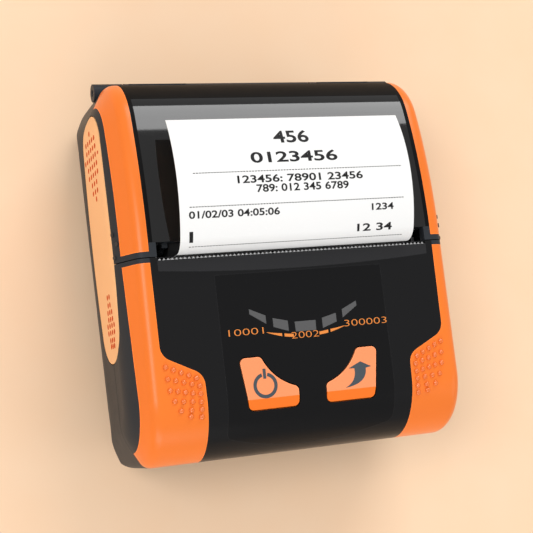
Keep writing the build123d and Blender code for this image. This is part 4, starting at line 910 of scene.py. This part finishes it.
@dataclass
class PanelMarks:
    """Numbers and arcs under the status windows.

    A label gives its figures, its left and right ends and its place along, and a stretch
    is what arc() takes. Both are in millimetres. The arc bends back by arc_rise for each
    square millimetre of its distance from the middle.
    """

    level: float = 58.02 * MM
    height: float = 2.05 * MM
    thinner: float = -0.014
    labels: tuple = (("10001", -25.9, -14.3, -25.1), ("2002", -5.2, 4.2, -27.5),
                     ("300003", 13.4, 28.4, -25.1))
    arc_drop: float = 27.7 * MM
    arc_rise: float = 0.0105
    arc_cuts: int = 8
    stretches: tuple = ((-13.3, -8.3, 0.15, 0.95), (-7.5, -4.4, 0.95, 0.95),
                        (4.4, 7.5, 0.95, 0.95), (8.3, 13.3, 0.95, 0.15))

    def arc(self, start: float, end: float, thin: float, thick: float) -> bpy.types.Object:
        """One tapering stretch of the arc below the windows.

        Args:
            start: where it starts across, in millimetres.
            end: where it ends across.
            thin: its height at the start.
            thick: its height at the end.

        Returns:
            The flat mesh.
        """
        bar = flat_plate(1.0, 1.0)
        with editing(bar):
            bpy.ops.mesh.subdivide(number_cuts=self.arc_cuts)

        def rule(co: Vector) -> Vector:
            share = co.x + 0.5
            x = start + (end - start) * share
            rise = self.arc_rise * x * x + co.y * (thin + (thick - thin) * share)
            return Vector((x * MM, rise * MM - self.arc_drop, self.level))

        place_all(bar, rule)
        return bar

    def build(self) -> None:
        """Makes the numbers and arcs and puts them on the panel."""
        marks = [self.arc(*stretch) for stretch in self.stretches]
        for text, left, right, along in self.labels:
            mark = flat_text(text, (right - left) * MM, self.height, self.thinner)
            middle = Vector(((left + right) / 2 * MM, along * MM, self.level))
            place_all(mark, lambda co: co + middle)
            marks.append(mark)
        finish_piece(fuse(marks), "panel_marks", LEGEND, "case")


@dataclass
class KeyGlyphs:
    """Power ring and feed arrow, printed on the upper facets of the keys, in millimetres."""

    crease_y: float = -46.2
    crease_z: float = 57.9
    top_y: float = -32.25
    top_z: float = 58.3
    lift: float = 0.03
    ring: Point = (-15.7, -42.2)
    ring_r: float = 4.0
    ring_stroke: float = 1.1
    ring_sides: int = 72
    gap_half: float = 0.75
    bar_half: float = 0.5
    bar_low: float = 0.8
    bar_high: float = 1.2
    head: tuple = ((17.2, -37.7), (12.9, -39.6), (14.9, -39.75), (18.9, -39.9), (20.9, -39.6))
    left_side: tuple = ((14.9, -39.75), (15.4, -43.8), (11.4, -45.5))
    right_side: tuple = ((18.9, -39.9), (19.1, -44.8), (11.4, -45.6))
    shaft_steps: int = 10
    arrow_weld: float = 0.02

    def on_facet(self, x: float, y: float) -> Vector:
        """A place on the keys' upper facet, in metres."""
        slope = (self.top_z - self.crease_z) / (self.top_y - self.crease_y)
        return Vector((x, y, self.crease_z + (y - self.crease_y) * slope + self.lift)) * MM

    def build_power(self) -> bpy.types.Object:
        """An open ring with a short bar in its gap.

        Returns:
            The flat mesh.
        """
        deselect()
        bpy.ops.mesh.primitive_circle_add(vertices=self.ring_sides, radius=self.ring_r,
                                          fill_type="NGON")
        ring = bpy.context.object
        with editing(ring):
            bpy.ops.mesh.select_mode(type="FACE")
            bpy.ops.mesh.inset(thickness=self.ring_stroke)
            bpy.ops.mesh.delete(type="FACE")
        select_vertices(ring, lambda co: co.y > 0 and abs(co.x) < self.gap_half)
        bpy.ops.mesh.delete(type="VERT")
        bpy.ops.object.mode_set(mode="OBJECT")
        low = self.ring_r - self.ring_stroke - self.bar_low
        high = self.ring_r + self.bar_high
        bar = flat_plate(2 * self.bar_half, high - low, (0, (low + high) / 2, 0))
        glyph = fuse([ring, bar])
        place_all(glyph, lambda co: self.on_facet(co.x + self.ring[0], co.y + self.ring[1]))
        return glyph

    def build_feed(self) -> bpy.types.Object:
        """An arrow whose shaft bends away to a point.

        Returns:
            The flat mesh.
        """
        steps = [k / self.shaft_steps for k in range(self.shaft_steps + 1)]
        left = [self.curve(*self.left_side, t) for t in steps]
        right = [self.curve(*self.right_side, t) for t in steps]
        rows = [self.head, *zip(left, left[1:], right[1:], right)]
        points, faces = [], []
        for row in rows:
            faces.append(tuple(range(len(points), len(points) + len(row))))
            points.extend(self.on_facet(x, y) for x, y in row)
        deselect()
        bpy.ops.mesh.primitive_circle_add(vertices=3, fill_type="NGON")
        arrow = bpy.context.object
        arrow.data.clear_geometry()
        arrow.data.from_pydata(points, [], faces)
        with editing(arrow):
            bpy.ops.mesh.remove_doubles(threshold=self.arrow_weld * MM)
        return arrow

    @staticmethod
    def curve(a: Point, b: Point, c: Point, t: float) -> Point:
        """A point on the curve from a to c that b pulls on."""
        return tuple(a[i] * (1 - t) ** 2 + 2 * b[i] * t * (1 - t) + c[i] * t * t for i in (0, 1))

    def build(self) -> None:
        """Makes both glyphs, each on its own key."""
        for glyph, name, body in ((self.build_power(), "power_glyph", "power_button"),
                                  (self.build_feed(), "feed_glyph", "feed_button")):
            face_towards(glyph, Vector((0, 0, 1)))
            finish_piece(glyph, name, GLYPH, body)


# Grips and insets

@dataclass
class GripDomes:
    """Smooth round domes on the thumb grips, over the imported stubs.

    A row gives its first and its last dome, each by its distance from the side and from
    the front, and how many there are. All are in millimetres.
    """

    side: float = 57.75
    front: float = -63.75
    chin_r: float = 20.0
    face_z: float = 58.0
    radius: float = 0.92
    rise: float = 0.78
    sunk: float = 0.08
    rows: tuple = ((10.75, 30.1, 20.05, 26.0, 5), (11.05, 26.5, 20.85, 23.6, 5),
                   (11.45, 23.0, 20.85, 21.1, 5), (12.55, 19.6, 20.85, 18.7, 4),
                   (14.35, 16.6, 20.85, 16.4, 3), (17.35, 14.6, 20.75, 14.1, 2))

    def dome(self) -> bpy.types.Object:
        """The cap of a ball that stands on the face, cut off just below it.

        Returns:
            One dome about the origin.
        """
        ball_r = (self.radius ** 2 + self.rise ** 2) / (2 * self.rise)
        deselect()
        bpy.ops.mesh.primitive_uv_sphere_add(segments=28, ring_count=36, radius=ball_r * MM,
                                             location=(0, 0, (self.rise - ball_r) * MM))
        ball = bpy.context.object
        apply_place(ball)
        with editing(ball):
            bpy.ops.mesh.bisect(plane_co=(0, 0, -self.sunk * MM), plane_no=(0, 0, 1),
                                clear_inner=True, use_fill=True)
        return ball

    def stand(self, x: float, y: float) -> Matrix:
        """The move that stands a dome on the face, square to it.

        Args:
            x: where it stands across.
            y: where it stands along; near the front the face rounds over the chin.

        Returns:
            The move.
        """
        ahead = max(self.front + self.chin_r - y, 0.0)
        z = self.face_z - self.chin_r + math.sqrt(self.chin_r ** 2 - ahead ** 2)
        lean = Matrix.Rotation(math.asin(ahead / self.chin_r), 4, "X")
        return Matrix.Translation(Vector((x, y, z)) * MM) @ lean

    def build(self) -> None:
        """Copies the dome to every stub of both grips."""
        dome = self.dome()
        for sign, name in ((-1, "left"), (1, "right")):
            copies = []
            for side0, fore0, side1, fore1, count in self.rows:
                for k in range(count):
                    part = k / (count - 1)
                    x = sign * (self.side - side0 - (side1 - side0) * part)
                    y = self.front + fore0 + (fore1 - fore0) * part
                    copies.append(copy_at(dome, self.stand(x, y)))
            domes = fuse(copies)
            smooth(40)
            finish_piece(domes, f"grip_domes_{name}", DOME, "case")
        bpy.data.objects.remove(dome)


@dataclass
class SideDimples:
    """Rows of dimples sunk into the pale side insets, painted a deeper orange inside as painted
    shade.

    A row gives its place along, how many dimples it has, and the heights of its lowest
    and its highest one. All are in millimetres.
    """

    radius: float = 0.95
    depth: float = 0.35
    rows: tuple = (
        (45.5, 1, 33.0, 33.0), (42.8, 5, 27.0, 39.0), (40.0, 5, 27.2, 39.4),
        (37.3, 7, 24.2, 42.0), (34.4, 5, 27.4, 39.8), (31.6, 5, 27.6, 40.0),
        (28.7, 3, 31.0, 37.5), (25.9, 3, 31.3, 37.6), (23.5, 1, 35.0, 35.0),
        (-8.9, 2, 36.5, 39.0), (-11.5, 2, 36.6, 39.2), (-13.8, 3, 35.4, 40.6),
        (-16.0, 3, 35.6, 40.8), (-18.0, 4, 33.6, 42.2), (-20.2, 4, 33.9, 41.8),
        (-22.6, 3, 35.6, 40.6), (-24.5, 3, 35.9, 40.2))

    def cutter(self, side: float) -> bpy.types.Object:
        """All the balls that sink the dimples of one side.

        Args:
            side: -1 or 1.

        Returns:
            The joined balls.
        """
        ball_r = (self.radius ** 2 + self.depth ** 2) / (2 * self.depth)
        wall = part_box("side_inset_right")[1][0] / MM
        x = side * (wall + ball_r - self.depth)
        deselect()
        bpy.ops.mesh.primitive_uv_sphere_add(segments=16, ring_count=10, radius=ball_r * MM,
                                             rotation=(0, math.pi / 2, 0))
        ball = bpy.context.object
        apply_place(ball)
        balls = []
        for y, count, low, high in self.rows:
            for k in range(count):
                z = low + (high - low) * k / max(count - 1, 1)
                balls.append(copy_at(ball, Matrix.Translation(Vector((x, y, z)) * MM)))
        bpy.data.objects.remove(ball)
        return fuse(balls)

    def cut(self, inset: bpy.types.Object, tool: bpy.types.Object) -> None:
        """Takes the balls out of an inset, which uses them up, and evens its shading."""
        choose(inset)
        dimples = inset.modifiers.new("dimples", "BOOLEAN")
        dimples.operation = "DIFFERENCE"
        dimples.solver = "EXACT"
        dimples.material_mode = "TRANSFER"
        dimples.object = tool
        bpy.ops.object.modifier_apply(modifier=dimples.name)
        bpy.data.objects.remove(tool)
        smooth(25)
        even = inset.modifiers.new("even", "WEIGHTED_NORMAL")
        even.keep_sharp = True
        bpy.ops.object.modifier_apply(modifier=even.name)

    def build(self) -> None:
        """Cuts the dimples into a copy of each inset."""
        for side, name in ((-1.0, "left"), (1.0, "right")):
            inset = copy_at(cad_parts[f"side_inset_{name}"], Matrix.Identity(4))
            inset.parent = None
            with editing(inset):
                bpy.ops.mesh.remove_doubles(threshold=WELD)
            tool = self.cutter(side)
            # The cutter's deeper orange passes to the dimples' walls as painted shade.
            for item, look in ((inset, INSET), (tool, DIMPLE_SHADE)):
                item.data.materials.clear()
                item.data.materials.append(look.material())
            self.cut(inset, tool)
            finish_piece(inset, f"dimpled_inset_{name}", INSET, "case")
            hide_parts(f"side_inset_{name}")


# Stage

@dataclass(frozen=True)
class Lamp:
    """A soft rectangular lamp: place, size and aim in metres, power in watts."""

    name: str
    place: Sequence[float]
    size: Point
    power: float
    aim: Sequence[float] = (0.0, 0.0, 0.03)

    def build(self) -> None:
        """Hangs the lamp and turns it to its aim."""
        data = bpy.data.lights.new(self.name, "AREA")
        data.shape = "RECTANGLE"
        data.size, data.size_y = self.size
        data.energy = self.power
        item = bpy.data.objects.new(self.name, data)
        bpy.context.collection.objects.link(item)
        item.location = self.place
        sight = Vector(self.aim) - Vector(self.place)
        item.rotation_euler = sight.to_track_quat("-Z", "Y").to_euler()


@dataclass
class Studio:
    """Camera, lamps, world and the pale floor; camera_at alone is in millimetres."""

    focal_px: float = 1200.0
    image_px: float = 533.0
    camera_at: Sequence[float] = (-144.21, -50.28, 409.32)
    right: Sequence[float] = (0.9337, -0.1124, 0.3398)
    back: Sequence[float] = (-0.3522, -0.1194, 0.9283)
    lamps: Sequence[Lamp] = (
        Lamp("key_above_left", (-0.62, 0.10, 0.95), (0.45, 0.45), 4.0),
        Lamp("panel_behind", (0.50, 1.00, 0.817), (0.90, 0.746), 10.2, aim=(0.50, 0.0, 0.817)),
        Lamp("fill_right", (0.9, -0.5, 0.7), (0.6, 0.6), 1.2),
        Lamp("front_low", (-0.2, -1.0, 0.45), (0.9, 0.4), 3.4))
    world_light: Colour = (1.0, 0.99, 0.98)
    world_strength: float = 0.5
    backdrop: Colour = srgb("FDE9D8")
    floor_half: float = 1.6
    floor_drop: float = 0.02 * MM
    floor_tones: tuple[Colour, Colour] = (srgb("FFD8B3"), srgb("FFDEBD"))

    def build_camera(self) -> None:
        """The photograph's view, solved from the printer's edges."""
        data = bpy.data.cameras.new("photo_view")
        data.sensor_width = 36.0
        data.lens = data.sensor_width * self.focal_px / self.image_px
        data.clip_start, data.clip_end = 0.01, 20.0
        camera = bpy.data.objects.new("photo_view", data)
        bpy.context.collection.objects.link(camera)
        back = Vector(self.back).normalized()
        right = (Vector(self.right) - Vector(self.right).dot(back) * back).normalized()
        turn = Matrix((right, back.cross(right), back)).transposed().to_4x4()
        camera.matrix_world = Matrix.Translation(Vector(self.camera_at) * MM) @ turn
        bpy.context.scene.camera = camera

    def build_world(self) -> None:
        """A plain soft world, seen by the camera as a pale backdrop."""
        world = bpy.data.worlds.new("soft_world")
        bpy.context.scene.world = world
        tree = blank_tree(world)
        path = tree.add("ShaderNodeLightPath")
        light = tree.add("ShaderNodeBackground", Color=(*self.world_light, 1.0),
                         Strength=self.world_strength)
        shown = tree.add("ShaderNodeBackground", Color=(*self.backdrop, 1.0), Strength=1.0)
        mix = tree.add("ShaderNodeMixShader")
        tree.join(path.outputs["Is Camera Ray"], mix.inputs[0])
        tree.join(light.outputs[0], mix.inputs[1])
        tree.join(shown.outputs[0], mix.inputs[2])
        tree.join(mix.outputs[0], tree.add("ShaderNodeOutputWorld").inputs[0])

    def build_floor(self) -> None:
        """A wide plain floor in a pale peach."""
        side = 2 * self.floor_half
        floor = flat_plate(side, side, (0, 0, -self.floor_drop))
        floor.name = "studio_floor"
        material = bpy.data.materials.new("peach_floor")
        tree = blank_tree(material)
        shader = tree.add("ShaderNodeBsdfPrincipled", Roughness=0.85, Specular_IOR_Level=0.1)
        weave = tree.noise(tree.own_place(), Scale=40.0, Detail=3.0)
        colour = tree.mix(weave.outputs["Fac"], *self.floor_tones)
        tree.join(colour, shader.inputs["Base Color"])
        tree.join(shader.outputs[0], tree.add("ShaderNodeOutputMaterial").inputs[0])
        floor.data.materials.append(material)

    def build(self) -> None:
        """Sets the whole stage."""
        self.build_camera()
        for lamp in self.lamps:
            lamp.build()
        self.build_world()
        self.build_floor()
        bpy.context.scene.view_settings.view_transform = "Standard"


def main() -> None:
    """Builds every sub-assembly in order."""
    logging.basicConfig(level=logging.INFO)
    dress_nodes()
    for part in (Studio(), ReceiptStrip(), LidShadeRims(), PanelMarks(), KeyGlyphs(), GripDomes(),
                 SideDimples()):
        LOG.info("building %s", type(part).__name__)
        part.build()


if __name__ == "__main__":
    main()
